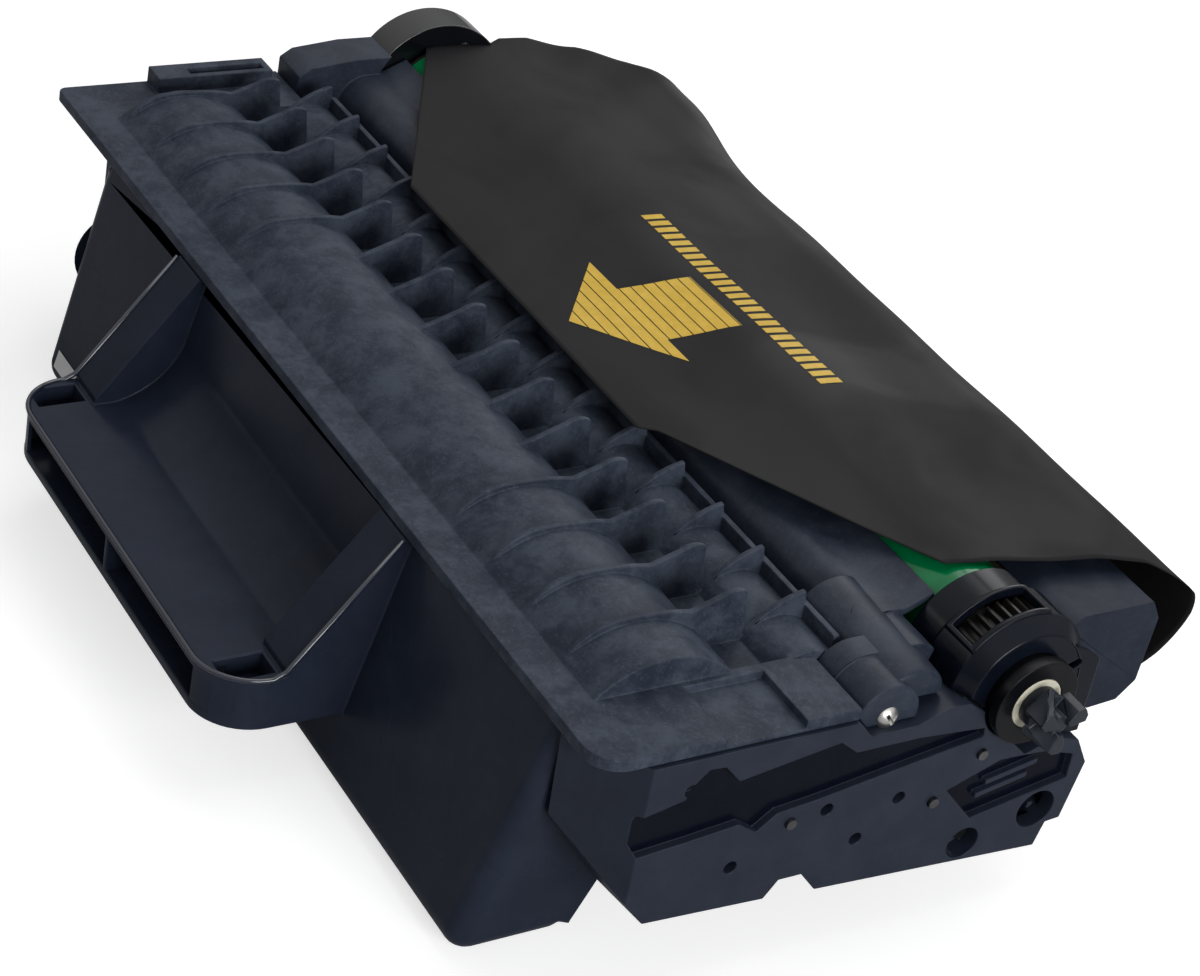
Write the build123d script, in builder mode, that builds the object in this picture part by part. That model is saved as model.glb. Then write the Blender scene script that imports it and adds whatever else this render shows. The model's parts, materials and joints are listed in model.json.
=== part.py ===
from build123d import *
from math import cos, hypot, radians, sin, sqrt, tan
import os

# Laser toner cartridge with its own drum, lying on the flat keel of its toner hopper.
# Millimetres. X runs along the drum, Y from the handle to the drum, Z up.
# The origin is the middle of the keel's resting face.

os.makedirs("parts", exist_ok=True)

# Lengths along X: the drum, and the room for the drive and for the far bearing
drum_length = 262.0
drive_end_room = 25.0
far_end_room = 13.0
plate_length = drum_length + drive_end_room + far_end_room
half_length = plate_length / 2
drum_near_x = half_length - drive_end_room
drum_far_x = drum_near_x - drum_length

# Paper guide plate
plate_front_y = -3.0
plate_top_z = 68.0
plate_thickness = 3.0
plate_back_y = 62.0
seat_z = plate_top_z - plate_thickness

# Toner hopper, a deep moulded box with drafted ends
hopper_near_x = half_length - 17.0
hopper_far_x = 32.0 - half_length
end_draft = 4.0
hopper_wall = 2.4
keel_y = 14.0
front_foot_y = -16.5
keel_radius = 6.0
trough_far_x = drum_far_x - 1.8
trough_back_y = 91.5
trough_top_z = 59.5
fill_centre = (5.0, 34.0)
fill_radius = 8.0

# Handle on the front wall
handle_half_length = 64.0
handle_outer_y = -45.0
handle_top_z = 32.0
handle_bottom_z = 18.0
handle_corner_radius = 14.0
handle_wall = 2.6
gusset_width = 13.0
gusset_foot_y = -28.0
grip_blend_z = 47.0

# Photosensitive drum
drum_y = 108.0
drum_z = 62.0
drum_radius = 15.0
drum_wall = 0.9
flange_plug = 6.0
flange_rim = 1.2

# Rollers round the drum, each placed by its angle from the one that it serves
roller_gap = 0.3
developer_radius = 7.0
developer_angle = 203.7
supply_radius = 7.1
supply_angle = 198.7
charge_radius = 6.0
charge_angle = -60.0
roller_near_x = drum_near_x - 4.0
roller_far_x = drum_far_x + 6.0
charge_inset = 5.0
shaft_radius = 2.5
charge_shaft_radius = 2.0
bush_radius = 3.6
running_clearance = 0.08

# Gear train inside the near end cover
gear_module = 0.8
drum_teeth = 39
developer_teeth = 17
supply_teeth = 19
idler_teeth = 40
agitator_teeth = 30
gear_near_x = half_length - 5.5
gear_width = 8.0
idler_angle = 193.0
agitator_gear_angle = 193.4
tooth_share = 0.40
idler_post_radius = 3.0

# Agitator in the hopper
paddle_reach = 9.0
agitator_film_reach = 14.0
agitator_film_thickness = 0.4

# End covers
cover_face_x = half_length + 1.0
seat_gap = 0.2
step = 0.3
cover_near_seat_x = hopper_near_x + seat_gap
cover_far_seat_x = trough_far_x - seat_gap
cover_wall = 2.2
cover_recess_depth = 2.0

# Paper guide ribs
guide_wall = 2.2
guide_end_x = half_length - 19.6
rib_count = 15
rib_first_x = 2.9 - guide_end_x
rib_last_x = guide_end_x - 14.4
rib_thickness = 1.5
full_ribs_far = 5
full_ribs_near = 4
rail_y = 68.0
rail_top_z = 70.6
rail_thickness = 1.6
ridge_centre = (23.8, 50.3)
ridge_radius = 23.6
valley_z = 63.2
hump_centre = (61.36, 57.76)
hump_radius = 10.14
guide_back_z = 60.9
guide_back_y = 75.2
tab_width = 8.0
tab_length = 34.0
tab_height = 4.5
tab_middle_y = 40.0

# Developer cover, the long rounded bar beside the drum
bar_round_y = 84.0
bar_round_z = 63.0
bar_radius = 8.5
bar_wall = 2.0
bar_lip_y = 96.5
bar_lip_z = 74.6
bar_near_x = drum_near_x + 0.5
boss_centre = (71.0, 62.5)
boss_radius = 8.6
boss_face_x = half_length - 1.5
boss_arm_length = 14.0
screw_bore_radius = 1.4

# Cleaner frame behind and under the drum
cleaner_wall = 2.4
cleaner_near_x = half_length - 10.0
cleaner_lower_near_x = drum_near_x + 7.6
bin_near_x = drum_near_x - 12.0
bin_far_x = drum_far_x + 7.0
trough_clearance = 1.6

# Drum end pieces
gear_room = 0.45
bracket_wall = 1.5
bracket_face_x = half_length - 0.5
bracket_face_radius = 15.0
bracket_gap = 0.4
bearing_radius = 11.0
bearing_neck_radius = 10.2
bearing_ring_width = 3.0
ring_radius = 6.5
coupling_radius = 5.0
coupling_shaft_radius = 4.0
coupling_length = 9.5
claw_length = 5.5
claw_radius = 7.0
far_cover_radius = 22.0
far_cover_wall = 2.4
far_cover_face_x = -cover_face_x
pin_radius = 3.0

# Protective film over the drum
film_thickness = 0.5

drum = (drum_y, drum_z)


def beside(centre, distance, angle):
    """The point at a distance and angle in the YZ plane from another point."""
    return (centre[0] + distance * cos(radians(angle)), centre[1] + distance * sin(radians(angle)))


def pitch_radius(teeth):
    """Pitch radius of a gear of the train."""
    return gear_module * teeth / 2


def tip_radius(teeth):
    """Outer radius of a gear of the train."""
    return pitch_radius(teeth) + 0.85 * gear_module


def gear_distance(first_teeth, second_teeth):
    """Centre distance of two meshing gears."""
    return pitch_radius(first_teeth) + pitch_radius(second_teeth)


# Shaft centres, worked out along the gear train
developer = beside(drum, gear_distance(drum_teeth, developer_teeth), developer_angle)
supply = beside(developer, gear_distance(developer_teeth, supply_teeth), supply_angle)
idler = beside(supply, gear_distance(supply_teeth, idler_teeth), idler_angle)
agitator = beside(idler, gear_distance(idler_teeth, agitator_teeth), agitator_gear_angle)
charge = beside(drum, drum_radius + charge_radius + roller_gap, charge_angle)

# Radius of the drum end bracket over the gear, and of the room in it
gear_room_radius = tip_radius(drum_teeth) + gear_room
bracket_radius = gear_room_radius + bracket_wall


def across(x):
    """Plane across the cartridge at x, with its own x along Y and its own y along Z."""
    return Plane(origin=(x, 0, 0), x_dir=(0, 1, 0), z_dir=(1, 0, 0))


def bar(centre, radius, x_from, x_to, mode=Mode.ADD):
    """Round bar along X in the current part, or a bore with Mode.SUBTRACT."""
    with BuildSketch(across(x_from)) as section:
        with Locations(centre):
            Circle(radius)
    extrude(section.sketch, amount=x_to - x_from, mode=mode)


def prism(points, x_from, x_to, mode=Mode.ADD):
    """Straight bar along X with a polygon for its section, in the current part."""
    with BuildSketch(across(x_from)) as section:
        with BuildLine():
            Polyline(*points, close=True)
        make_face()
    extrude(section.sketch, amount=x_to - x_from, mode=mode)


def sector(inner, outer, start, end, x_from, x_to, mode=Mode.ADD):
    """Part of a ring round the drum's axis between two angles, in the current part."""
    middle = (start + end) / 2
    with BuildSketch(across(x_from)) as section:
        with BuildLine():
            ThreePointArc(beside(drum, outer, start), beside(drum, outer, middle), beside(drum, outer, end))
            Line(beside(drum, outer, end), beside(drum, inner, end))
            ThreePointArc(beside(drum, inner, end), beside(drum, inner, middle), beside(drum, inner, start))
            Line(beside(drum, inner, start), beside(drum, outer, start))
        make_face()
    extrude(section.sketch, amount=x_to - x_from, mode=mode)


def turned(profile, mode=Mode.ADD):
    """Solid turned round the drum's axis from points of x and radius, in the current part."""
    with BuildSketch(Plane(origin=(0, drum_y, drum_z), x_dir=(1, 0, 0), z_dir=(0, -1, 0))) as section:
        with BuildLine():
            Polyline(*profile, close=True)
        make_face()
    revolve(section.sketch, axis=Axis((0, drum_y, drum_z), (1, 0, 0)), mode=mode)


def at_height(centre, radius, z, side):
    """Point of a circle at a height, on its front (-1) or back (1) side."""
    return (centre[0] + side * sqrt(radius ** 2 - (z - centre[1]) ** 2), z)


def gear_wheel(centre, teeth, phase):
    """Spur gear with straight-flanked teeth, in the current part."""
    pitch = pitch_radius(teeth)
    root = pitch - 1.25 * gear_module
    tip = tip_radius(teeth)
    pitch_angle = 360 / teeth
    tip_half = pitch_angle * tooth_share * 0.30
    root_half = pitch_angle * tooth_share * 0.80
    flank = ((root, -root_half), (tip, -tip_half), (tip, tip_half), (root, root_half))
    corners = [
        beside(centre, radius, phase + index * pitch_angle + angle)
        for index in range(teeth) for radius, angle in flank
    ]
    prism(corners, gear_near_x - gear_width, gear_near_x)


def inset(points, distance):
    """Clockwise outline moved inwards by a distance, with mitred corners."""
    moved = []
    for index, (y, z) in enumerate(points):
        normals = []
        for start, end in ((points[index - 1], (y, z)), ((y, z), points[(index + 1) % len(points)])):
            length = hypot(end[0] - start[0], end[1] - start[1])
            normals.append(((end[1] - start[1]) / length, (start[0] - end[0]) / length))
        (first_y, first_z), (second_y, second_z) = normals
        reach = distance / (1 + first_y * second_y + first_z * second_z)
        moved.append((y + (first_y + second_y) * reach, z + (first_z + second_z) * reach))
    return moved


def finish(part, name):
    """Label a piece and write it."""
    part.label = name
    export_step(part, f"parts/{name}.step")


# Toner hopper: a drafted box, the trough of the rollers, the handle and the bosses
box_outline = [
    (plate_front_y + 2.0, seat_z), (front_foot_y, 0), (keel_y, 0), (20.5, 18.0), (40.0, 19.5),
    (58.0, 36.0), (60.0, 61.8), (40.0, 61.8), (38.0, seat_z),
]
trough_outline = [
    (46.0, 25.0), (58.0, 36.0), (trough_back_y, 41.0), (trough_back_y, trough_top_z),
    (62.0, trough_top_z), (60.0, 61.8), (46.0, 61.8),
]
end_slope = tan(radians(end_draft))


def drafted_box(inset):
    """The hopper's box, or its cavity when inset by the wall."""
    lean = seat_z * end_slope
    with BuildPart() as body:
        with BuildSketch(across(hopper_far_x)) as section:
            with BuildLine():
                Polyline(*box_outline, close=True)
            make_face()
            fillet(section.vertices().group_by(Axis.Y)[0], keel_radius)
            if inset:
                offset(amount=-inset, mode=Mode.REPLACE)
        extrude(amount=hopper_near_x - hopper_far_x)
        with BuildSketch(Plane.XZ):
            with BuildLine():
                Polyline(
                    (hopper_far_x + inset + lean, 0), (hopper_near_x - inset - lean, 0),
                    (hopper_near_x - inset, seat_z), (hopper_far_x + inset, seat_z), close=True,
                )
            make_face()
        extrude(amount=half_length, both=True, mode=Mode.INTERSECT)
    return body.part


def handle_body():
    """The grip: a rimmed shelf blended into the front wall, with a gusset at each end."""
    height = handle_top_z - handle_bottom_z
    channel_length = handle_half_length - handle_corner_radius + 6.0
    with BuildPart() as grip:
        with BuildSketch(Plane.XY.offset(handle_bottom_z)) as plan:
            with Locations((0, (handle_outer_y - 8.0) / 2)):
                Rectangle(2 * handle_half_length, -8.0 - handle_outer_y)
            fillet(plan.vertices().group_by(Axis.Y)[0], handle_corner_radius)
        extrude(amount=height)
        with BuildSketch(across(-handle_half_length)):
            with BuildLine():
                Polyline((-30.0, handle_top_z), (-30.0, 24.0), (-8.0, 24.0), (-5.2, grip_blend_z))
                ThreePointArc((-5.2, grip_blend_z), (-13.5, 35.8), (-30.0, handle_top_z))
            make_face()
        extrude(amount=2 * handle_half_length)
        for end_x in (-handle_half_length, handle_half_length - gusset_width):
            with BuildSketch(across(end_x)):
                with BuildLine():
                    Polyline(
                        (gusset_foot_y, 24.0), (-8.0, 24.0), (-0.9, seat_z - 0.2), (-3.5, seat_z - 0.2),
                        (gusset_foot_y, handle_top_z + 1.5), close=True,
                    )
                make_face()
            extrude(amount=gusset_width)
        for side in (-1, 1):
            with Locations((side * (channel_length / 2 + 0.8), handle_outer_y, handle_bottom_z + height / 2)):
                Box(channel_length, 14.0, height - 2 * handle_wall, mode=Mode.SUBTRACT)
            with Locations((side * (handle_half_length - gusset_width / 2), -35.5, handle_top_z - 3.0)):
                Box(gusset_width - 2 * handle_wall, 12.0, 12.0, mode=Mode.SUBTRACT)
        with Locations((0, -24.0, handle_bottom_z)):
            Box(2 * (handle_half_length - handle_wall), 20.0, 14.0, mode=Mode.SUBTRACT)
    return grip.part


outer_box = drafted_box(0)
box_cavity = drafted_box(hopper_wall)
grip = handle_body()
cavity_length = hopper_near_x - trough_far_x - 2 * hopper_wall
box_opening_length = hopper_near_x - hopper_far_x - 2 * (hopper_wall + 1.0)

with BuildPart() as toner_hopper:
    add(outer_box)
    add(grip)
    add(box_cavity, mode=Mode.SUBTRACT)
    with Locations(((hopper_near_x + hopper_far_x) / 2, 27.0, seat_z - 2.0)):
        Box(box_opening_length, 51.0, 10.0, mode=Mode.SUBTRACT)
    prism(trough_outline, trough_far_x, hopper_near_x)
    with BuildSketch(across(trough_far_x + hopper_wall)) as trough_cavity:
        with BuildLine():
            Polyline(*trough_outline, close=True)
        make_face()
        offset(amount=-hopper_wall, mode=Mode.REPLACE)
    extrude(amount=cavity_length, mode=Mode.SUBTRACT)
    trough_mouth = [(48.4, 66.0), (48.4, 50.0), (76.0, 44.5), (98.0, 45.0), (98.0, 66.0)]
    prism(trough_mouth, trough_far_x + hopper_wall, hopper_near_x - hopper_wall, mode=Mode.SUBTRACT)
    passage = [(30.0, 56.0), (30.0, 30.0), (50.0, 34.0), (50.0, 56.0)]
    prism(passage, hopper_far_x + 8.0, hopper_near_x - 6.0, mode=Mode.SUBTRACT)
    bar(idler, idler_post_radius, hopper_near_x - hopper_wall, gear_near_x + 0.8)
    bar(fill_centre, fill_radius + 3.0, hopper_far_x, hopper_far_x + 6.0)
    bar(fill_centre, fill_radius, hopper_far_x - 1.0, hopper_far_x + 8.0, mode=Mode.SUBTRACT)
    bar(agitator, shaft_radius + 3.0, hopper_far_x + 3.0, hopper_far_x + 11.0)
    bar(agitator, shaft_radius + running_clearance, hopper_far_x + 6.0, half_length, mode=Mode.SUBTRACT)
    for centre in (developer, supply):
        bar(centre, bush_radius, -half_length, half_length, mode=Mode.SUBTRACT)
finish(toner_hopper.part, "toner_hopper")

# Cap of the toner filling hole in the hopper's far end
with BuildPart() as fill_cap:
    bar(fill_centre, fill_radius + 2.2, hopper_far_x - 1.6, hopper_far_x)
    bar(fill_centre, fill_radius - 0.05, hopper_far_x, hopper_far_x + 5.0)
    bar(fill_centre, fill_radius - 1.6, hopper_far_x + 1.0, hopper_far_x + 6.0, mode=Mode.SUBTRACT)
finish(fill_cap.part, "fill_cap")

# Paper guide: one bent wall along the cartridge, flat ends, a rail and the row of ribs
guide_middle_z = plate_top_z - guide_wall / 2
rib_pitch = (rib_last_x - rib_first_x) / (rib_count - 1)


ridge_start = at_height(ridge_centre, ridge_radius, guide_middle_z, -1)
ridge_top = (ridge_centre[0], ridge_centre[1] + ridge_radius)
ridge_end = at_height(ridge_centre, ridge_radius, valley_z, 1)
hump_start = at_height(hump_centre, hump_radius, valley_z, -1)
hump_top = (hump_centre[0], hump_centre[1] + hump_radius)
hump_end = at_height(hump_centre, hump_radius, guide_back_z, 1)


def rib_outline(whole):
    """Outline of one rib: over the ridge if it is whole, up to its fin, then the second fin."""
    crest_start = (6.7, 67.2) if whole else (32.0, 72.6)
    fin_start = (38.0, 74.5)
    fin_end = (51.6, 77.2)
    second_start = (52.9, 64.6)
    second_end = (67.9, 74.0)
    if whole:
        ThreePointArc(crest_start, (12.2, 73.6), (21.4, 75.9))
        ThreePointArc((21.4, 75.9), (30.0, 75.7), fin_start)
    else:
        Line(crest_start, fin_start)
    Line(fin_start, (45.1, 77.0))
    ThreePointArc((45.1, 77.0), (48.5, 78.0), fin_end)
    Polyline(fin_end, (52.8, 68.5), second_start)
    ThreePointArc(second_start, (59.2, 70.6), second_end)
    Polyline(second_end, (68.7, 68.7), (73.4, guide_back_z), hump_end)
    ThreePointArc(hump_end, hump_top, hump_start)
    Line(hump_start, ridge_end)
    if whole:
        ThreePointArc(ridge_end, ridge_top, ridge_start)
        Line(ridge_start, crest_start)
    else:
        fin_root = beside(ridge_centre, ridge_radius, 69.0)
        ThreePointArc(ridge_end, beside(ridge_centre, ridge_radius, 50.0), fin_root)
        Line(fin_root, crest_start)


with BuildPart() as top_cover:
    with BuildSketch(across(-guide_end_x)):
        with BuildLine():
            Line((plate_front_y, guide_middle_z), ridge_start)
            ThreePointArc(ridge_start, ridge_top, ridge_end)
            Line(ridge_end, hump_start)
            ThreePointArc(hump_start, hump_top, hump_end)
            Line(hump_end, (guide_back_y, guide_back_z))
        trace(line_width=guide_wall)
    extrude(amount=2 * guide_end_x)
    with Locations((0, plate_front_y + 1.2, plate_top_z - plate_thickness / 2)):
        Box(plate_length, 2.4, plate_thickness)
    end_width = half_length - guide_end_x + 1.0
    for side in (-1, 1):
        with Locations((side * (half_length - end_width / 2), (plate_front_y + plate_back_y) / 2, seat_z)):
            Box(end_width, plate_back_y - plate_front_y, plate_thickness, align=(Align.CENTER, Align.CENTER, Align.MIN))
    with Locations((half_length - 9.0, 38.0, plate_top_z)):
        Box(18.0, 20.0, 4.0, mode=Mode.SUBTRACT)
    with Locations((-half_length + tab_width / 2, tab_middle_y, seat_z + 1.0)):
        Box(tab_width, tab_length, plate_thickness - 1.0 + tab_height, align=(Align.CENTER, Align.CENTER, Align.MIN))
    with Locations((-half_length + tab_width / 2 + 0.6, tab_middle_y + 4.0, plate_top_z + 1.0)):
        Box(3.0, tab_length - 12.0, tab_height, align=(Align.CENTER, Align.CENTER, Align.MIN), mode=Mode.SUBTRACT)
    rail_foot = [
        at_height(hump_centre, hump_radius, hump_centre[1] + sqrt(hump_radius ** 2 - (y - hump_centre[0]) ** 2), 1)
        for y in (rail_y, rail_y + rail_thickness)
    ]
    prism(
        [rail_foot[0], (rail_y, rail_top_z), (rail_y + rail_thickness, rail_top_z), rail_foot[1]],
        rib_first_x, guide_end_x - rib_thickness,
    )
    for end_x in (-guide_end_x, guide_end_x - rib_thickness):
        with BuildSketch(across(end_x)):
            with BuildLine():
                ridge_foot = at_height(ridge_centre, ridge_radius, seat_z + seat_gap, 1)
                ThreePointArc(ridge_start, ridge_top, ridge_foot)
                Line(ridge_foot, ridge_start)
            make_face()
            with BuildLine():
                ThreePointArc(hump_start, hump_top, hump_end)
                Line(hump_end, hump_start)
            make_face()
        extrude(amount=rib_thickness)
    for index in range(rib_count):
        whole = index < full_ribs_far or index >= rib_count - full_ribs_near
        with BuildSketch(across(rib_first_x + index * rib_pitch - rib_thickness / 2)):
            with BuildLine():
                rib_outline(whole)
            make_face()
        extrude(amount=rib_thickness)
finish(top_cover.part, "top_cover")

# Near end cover: a moulded lid over the gears, flared to the hopper's corner, recessed and pierced
cover_top = [
    (10.0, 64.8), (62.0, 64.8), (66.0, 60.3), (78.5, 60.3), (86.0, 63.2), (92.0, 63.2),
    (98.0, 59.0), (106.0, 50.5), (113.0, 44.0), (121.0, 47.0), (128.5, 44.5),
]
cover_front = [(133.0, 37.0), (130.5, 21.0), (126.5, 20.6), (125.0, 14.0)]
cover_notch = [(62.0, 18.0), (57.0, 23.8), (51.0, 23.8), (48.0, 19.2), (16.5, 21.0), (10.8, 28.0)]
cover_outline = cover_top + cover_front + cover_notch
cover_flare = [(-2.0, 64.8)] + cover_outline[1:-2] + [(14.0, 21.0), (-1.0, 42.0)]


def cover_block(x_seat, x_face, wall):
    """A lid's solid between its seat and its face, or its cavity when drawn in by the wall."""
    with BuildPart() as block:
        for x, outline in ((x_seat, cover_flare), (x_face, cover_outline)):
            with BuildSketch(across(x)):
                with BuildLine():
                    Polyline(*inset(outline, wall), close=True)
                make_face()
        loft(ruled=True)
    return block.part


near_block = cover_block(cover_near_seat_x, cover_face_x, 0)
near_cavity = cover_block(cover_near_seat_x, cover_face_x - cover_wall - cover_recess_depth, cover_wall)
recess_outline = [
    (9.4, 51.7), (20.0, 54.3), (22.0, 58.6), (24.5, 61.3), (28.5, 61.0), (33.0, 56.1), (58.0, 60.4),
    (63.0, 56.5), (80.0, 56.5), (98.0, 55.0), (98.5, 52.6), (55.6, 45.4), (45.6, 44.2), (41.0, 40.2),
    (36.0, 43.6), (22.8, 42.1), (10.8, 41.0), (8.0, 45.5),
]
slot_outline = [(92.6, 38.5), (102.1, 28.2), (128.4, 33.4), (128.0, 40.5), (119.5, 43.2), (106.0, 44.0)]
small_holes = [(21.0, 56.5), (59.1, 41.7), (69.6, 30.7), (36.5, 31.4), (78.9, 40.0)]
pin_places = [(49.7, 40.5), (89.1, 36.3), (99.5, 47.5)]
round_window = (121.9, 25.7)
toothed_window = (102.3, 20.7)
small_hole_radius = 1.6
cover_pin_radius = 1.3

with BuildPart() as near_end_cover:
    add(near_block)
    add(near_cavity, mode=Mode.SUBTRACT)
    gear_room_x = bracket_face_x - bracket_wall
    bar(drum, gear_room_radius, cover_near_seat_x, gear_room_x, mode=Mode.SUBTRACT)
    bar(drum, bearing_radius + bracket_gap, gear_room_x - 1.0, cover_face_x + 1.0, mode=Mode.SUBTRACT)
    recess_floor_x = cover_face_x - cover_recess_depth
    prism(recess_outline, recess_floor_x, cover_face_x + 1.0, mode=Mode.SUBTRACT)
    prism(slot_outline, recess_floor_x, cover_face_x + 1.0, mode=Mode.SUBTRACT)
    for row in (0, 1):
        tab = [(102.0, 33.5), (116.0, 36.5), (116.0, 38.0), (102.0, 35.0)]
        prism([(y + 2.0 * row, z + 3.4 * row) for y, z in tab], recess_floor_x - 0.2, cover_face_x - 0.4)
    for centre in small_holes:
        bar(centre, small_hole_radius, cover_near_seat_x, cover_face_x + 1.0, mode=Mode.SUBTRACT)
    for centre in pin_places:
        bar(centre, cover_pin_radius, cover_near_seat_x, cover_face_x + 1.0, mode=Mode.SUBTRACT)
    bar(round_window, 5.2, cover_face_x - cover_wall - cover_recess_depth - 1.0, cover_face_x + 1.0, mode=Mode.SUBTRACT)
    bar(toothed_window, 4.3, cover_face_x - cover_wall - cover_recess_depth - 1.0, cover_face_x + 1.0, mode=Mode.SUBTRACT)
finish(near_end_cover.part, "near_end_cover")

# Steel dowel pins that locate the near end cover
with BuildPart() as cover_pins:
    for centre in pin_places:
        bar(centre, cover_pin_radius - 0.02, cover_face_x - cover_wall - cover_recess_depth, cover_face_x + 0.8)
finish(cover_pins.part, "cover_pins")

# Far end cover: the plain lid of the same outline, cut away for the drum's far cover
far_block = cover_block(cover_far_seat_x, far_cover_face_x, 0)
far_cavity = cover_block(cover_far_seat_x, far_cover_face_x + cover_wall, cover_wall)
with BuildPart() as far_end_cover:
    add(far_block)
    add(far_cavity, mode=Mode.SUBTRACT)
    bar(drum, far_cover_radius + bracket_gap, far_cover_face_x - 1.0, cover_far_seat_x + 1.0, mode=Mode.SUBTRACT)
finish(far_end_cover.part, "far_end_cover")

# Cleaner frame: waste bin under the drum and cleaner housing behind it, with end walls
cleaner_lower = [
    (100.0, 5.0), (105.0, 0), (120.0, 0), (124.0, 5.0), (124.0, 33.0), (133.0, 40.0), (140.0, 42.5),
    (140.0, 60.0), (drum_y, drum_z), (100.0, 38.0),
]
cleaner_back = [
    (125.0, 50.0), (134.0, 46.0), (140.0, 42.5), (148.5, 43.2), (153.0, 48.0), (153.5, 66.0),
    (150.5, 71.0), (130.0, 71.0), (125.5, 68.5),
]
bin_hollow = [(102.4, 6.0), (106.0, 2.4), (119.0, 2.4), (121.6, 6.0), (121.6, 32.0), (102.4, 32.0)]
back_hollow = [
    (120.0, 57.0), (129.0, 50.5), (135.0, 48.0), (140.5, 45.0), (147.6, 45.6), (150.6, 49.0),
    (151.0, 65.2), (149.2, 68.6), (131.0, 68.6), (120.0, 68.0),
]
cleaner_far_x = trough_far_x

with BuildPart() as cleaner_frame:
    prism(cleaner_lower, cleaner_far_x, cleaner_lower_near_x)
    prism(cleaner_back, cleaner_far_x, cleaner_near_x)
    for x_from, x_to in ((cleaner_far_x, bin_far_x), (bin_near_x, cleaner_lower_near_x)):
        prism([(90.0, -1.0), (130.0, -1.0), (130.0, 30.0), (90.0, 30.0)], x_from, x_to, mode=Mode.SUBTRACT)
    prism(bin_hollow, bin_far_x + cleaner_wall, bin_near_x - cleaner_wall, mode=Mode.SUBTRACT)
    hollow_far_x = cleaner_far_x + cleaner_wall
    prism(back_hollow, hollow_far_x, cleaner_lower_near_x - cleaner_wall, mode=Mode.SUBTRACT)
    bar(drum, drum_radius + trough_clearance, cleaner_far_x, cleaner_lower_near_x, mode=Mode.SUBTRACT)
    bar(charge, charge_radius + 1.4, roller_far_x - 1.0, roller_near_x + 3.5, mode=Mode.SUBTRACT)
    bar(drum, bracket_radius + bracket_gap, drum_near_x + 0.7, cleaner_near_x + 1.0, mode=Mode.SUBTRACT)
finish(cleaner_frame.part, "cleaner_frame")

# Drum end bracket: a stepped arch over the drum's gear with a framed window, and its face plate
window_from = 78.0
window_to = 140.0
window_frame = 0.7
bracket_far_x = drum_near_x + 1.0
gear_far_x = gear_near_x - gear_width
flange_room_radius = drum_radius + gear_room
cover_rise = [(y, z + bracket_gap) for y, z in cover_top]
under_bracket = cover_rise + [
    (cover_rise[-1][0] + 30.0, cover_rise[-1][1]), (cover_rise[-1][0] + 30.0, 0), (0, 0), (0, cover_rise[0][1]),
]
face_plate = [(108.0, 46.0), (108.0, 75.6), (113.8, 75.0), (124.1, 69.7), (128.4, 66.5), (128.8, 46.0)]
oblong_hole = (120.6, 66.4)

with BuildPart() as drum_end_bracket:
    turned([
        (bracket_far_x, 0), (bracket_far_x, flange_room_radius + bracket_wall),
        (gear_far_x - 2.5, flange_room_radius + bracket_wall), (gear_far_x - 1.5, bracket_radius),
        (gear_near_x + 1.0, bracket_radius), (bracket_face_x, bracket_face_radius), (bracket_face_x, 0),
    ])
    prism(face_plate, bracket_face_x - bracket_wall + 0.1, bracket_face_x - 0.1)
    sector(bracket_radius - bracket_wall / 2, bracket_radius + window_frame, window_from - 4.0, window_to + 4.0,
           gear_far_x - 1.2, gear_near_x + 0.9)
    turned([
        (bracket_far_x - 1.0, 0), (bracket_far_x - 1.0, flange_room_radius),
        (gear_far_x - 1.0, flange_room_radius), (gear_far_x - 0.5, gear_room_radius),
        (gear_near_x + 0.5, gear_room_radius),
        (bracket_face_x - bracket_wall, bracket_face_radius - bracket_wall / 2), (bracket_face_x - bracket_wall, 0),
    ], mode=Mode.SUBTRACT)
    bar(drum, bearing_neck_radius, bracket_far_x, bracket_face_x + 1.0, mode=Mode.SUBTRACT)
    sector(bracket_radius - 2 * bracket_wall, bracket_radius + 2 * window_frame, window_from, window_to,
           gear_far_x, gear_near_x - 0.3, mode=Mode.SUBTRACT)
    with BuildSketch(across(bracket_face_x - 2 * bracket_wall)):
        with Locations(oblong_hole):
            SlotOverall(4.4, 2.2, rotation=20)
    extrude(amount=3 * bracket_wall, mode=Mode.SUBTRACT)
    prism(under_bracket, bracket_far_x, bracket_face_x + 1.0, mode=Mode.SUBTRACT)
finish(drum_end_bracket.part, "drum_end_bracket")

# Bearing of the coupling: a neck in the bracket and the ring that locates the cartridge
ring_far_x = cover_face_x + seat_gap
ring_near_x = ring_far_x + bearing_ring_width
with BuildPart() as drum_bearing:
    bar(drum, bearing_neck_radius - 0.02, bracket_face_x - bracket_wall, ring_far_x)
    bar(drum, bearing_radius, ring_far_x, ring_near_x)
    bar(drum, ring_radius + running_clearance, bracket_face_x - 2 * bracket_wall, ring_near_x + 1.0,
        mode=Mode.SUBTRACT)
finish(drum_bearing.part, "drum_bearing")

with BuildPart() as coupling_ring:
    bar(drum, ring_radius, bracket_face_x - bracket_wall, ring_near_x)
    bar(drum, coupling_shaft_radius, bracket_face_x - 2 * bracket_wall, ring_near_x + 1.0, mode=Mode.SUBTRACT)
finish(coupling_ring.part, "coupling_ring")

# Drive coupling: a shaft into the drum's gear, a hub and three hooked claws with slanting backs
coupling_tip_x = ring_near_x + coupling_length
claw_root_x = coupling_tip_x - claw_length


def claw_section(radius, start, end):
    """Section of a claw between two angles, with its hooked outer corner."""
    return [
        beside(drum, 1.8, start), beside(drum, radius - 0.8, start), beside(drum, radius, start + 14.0),
        beside(drum, radius, end - 12.0), beside(drum, radius - 1.6, end), beside(drum, 1.8, end),
    ]


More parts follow.
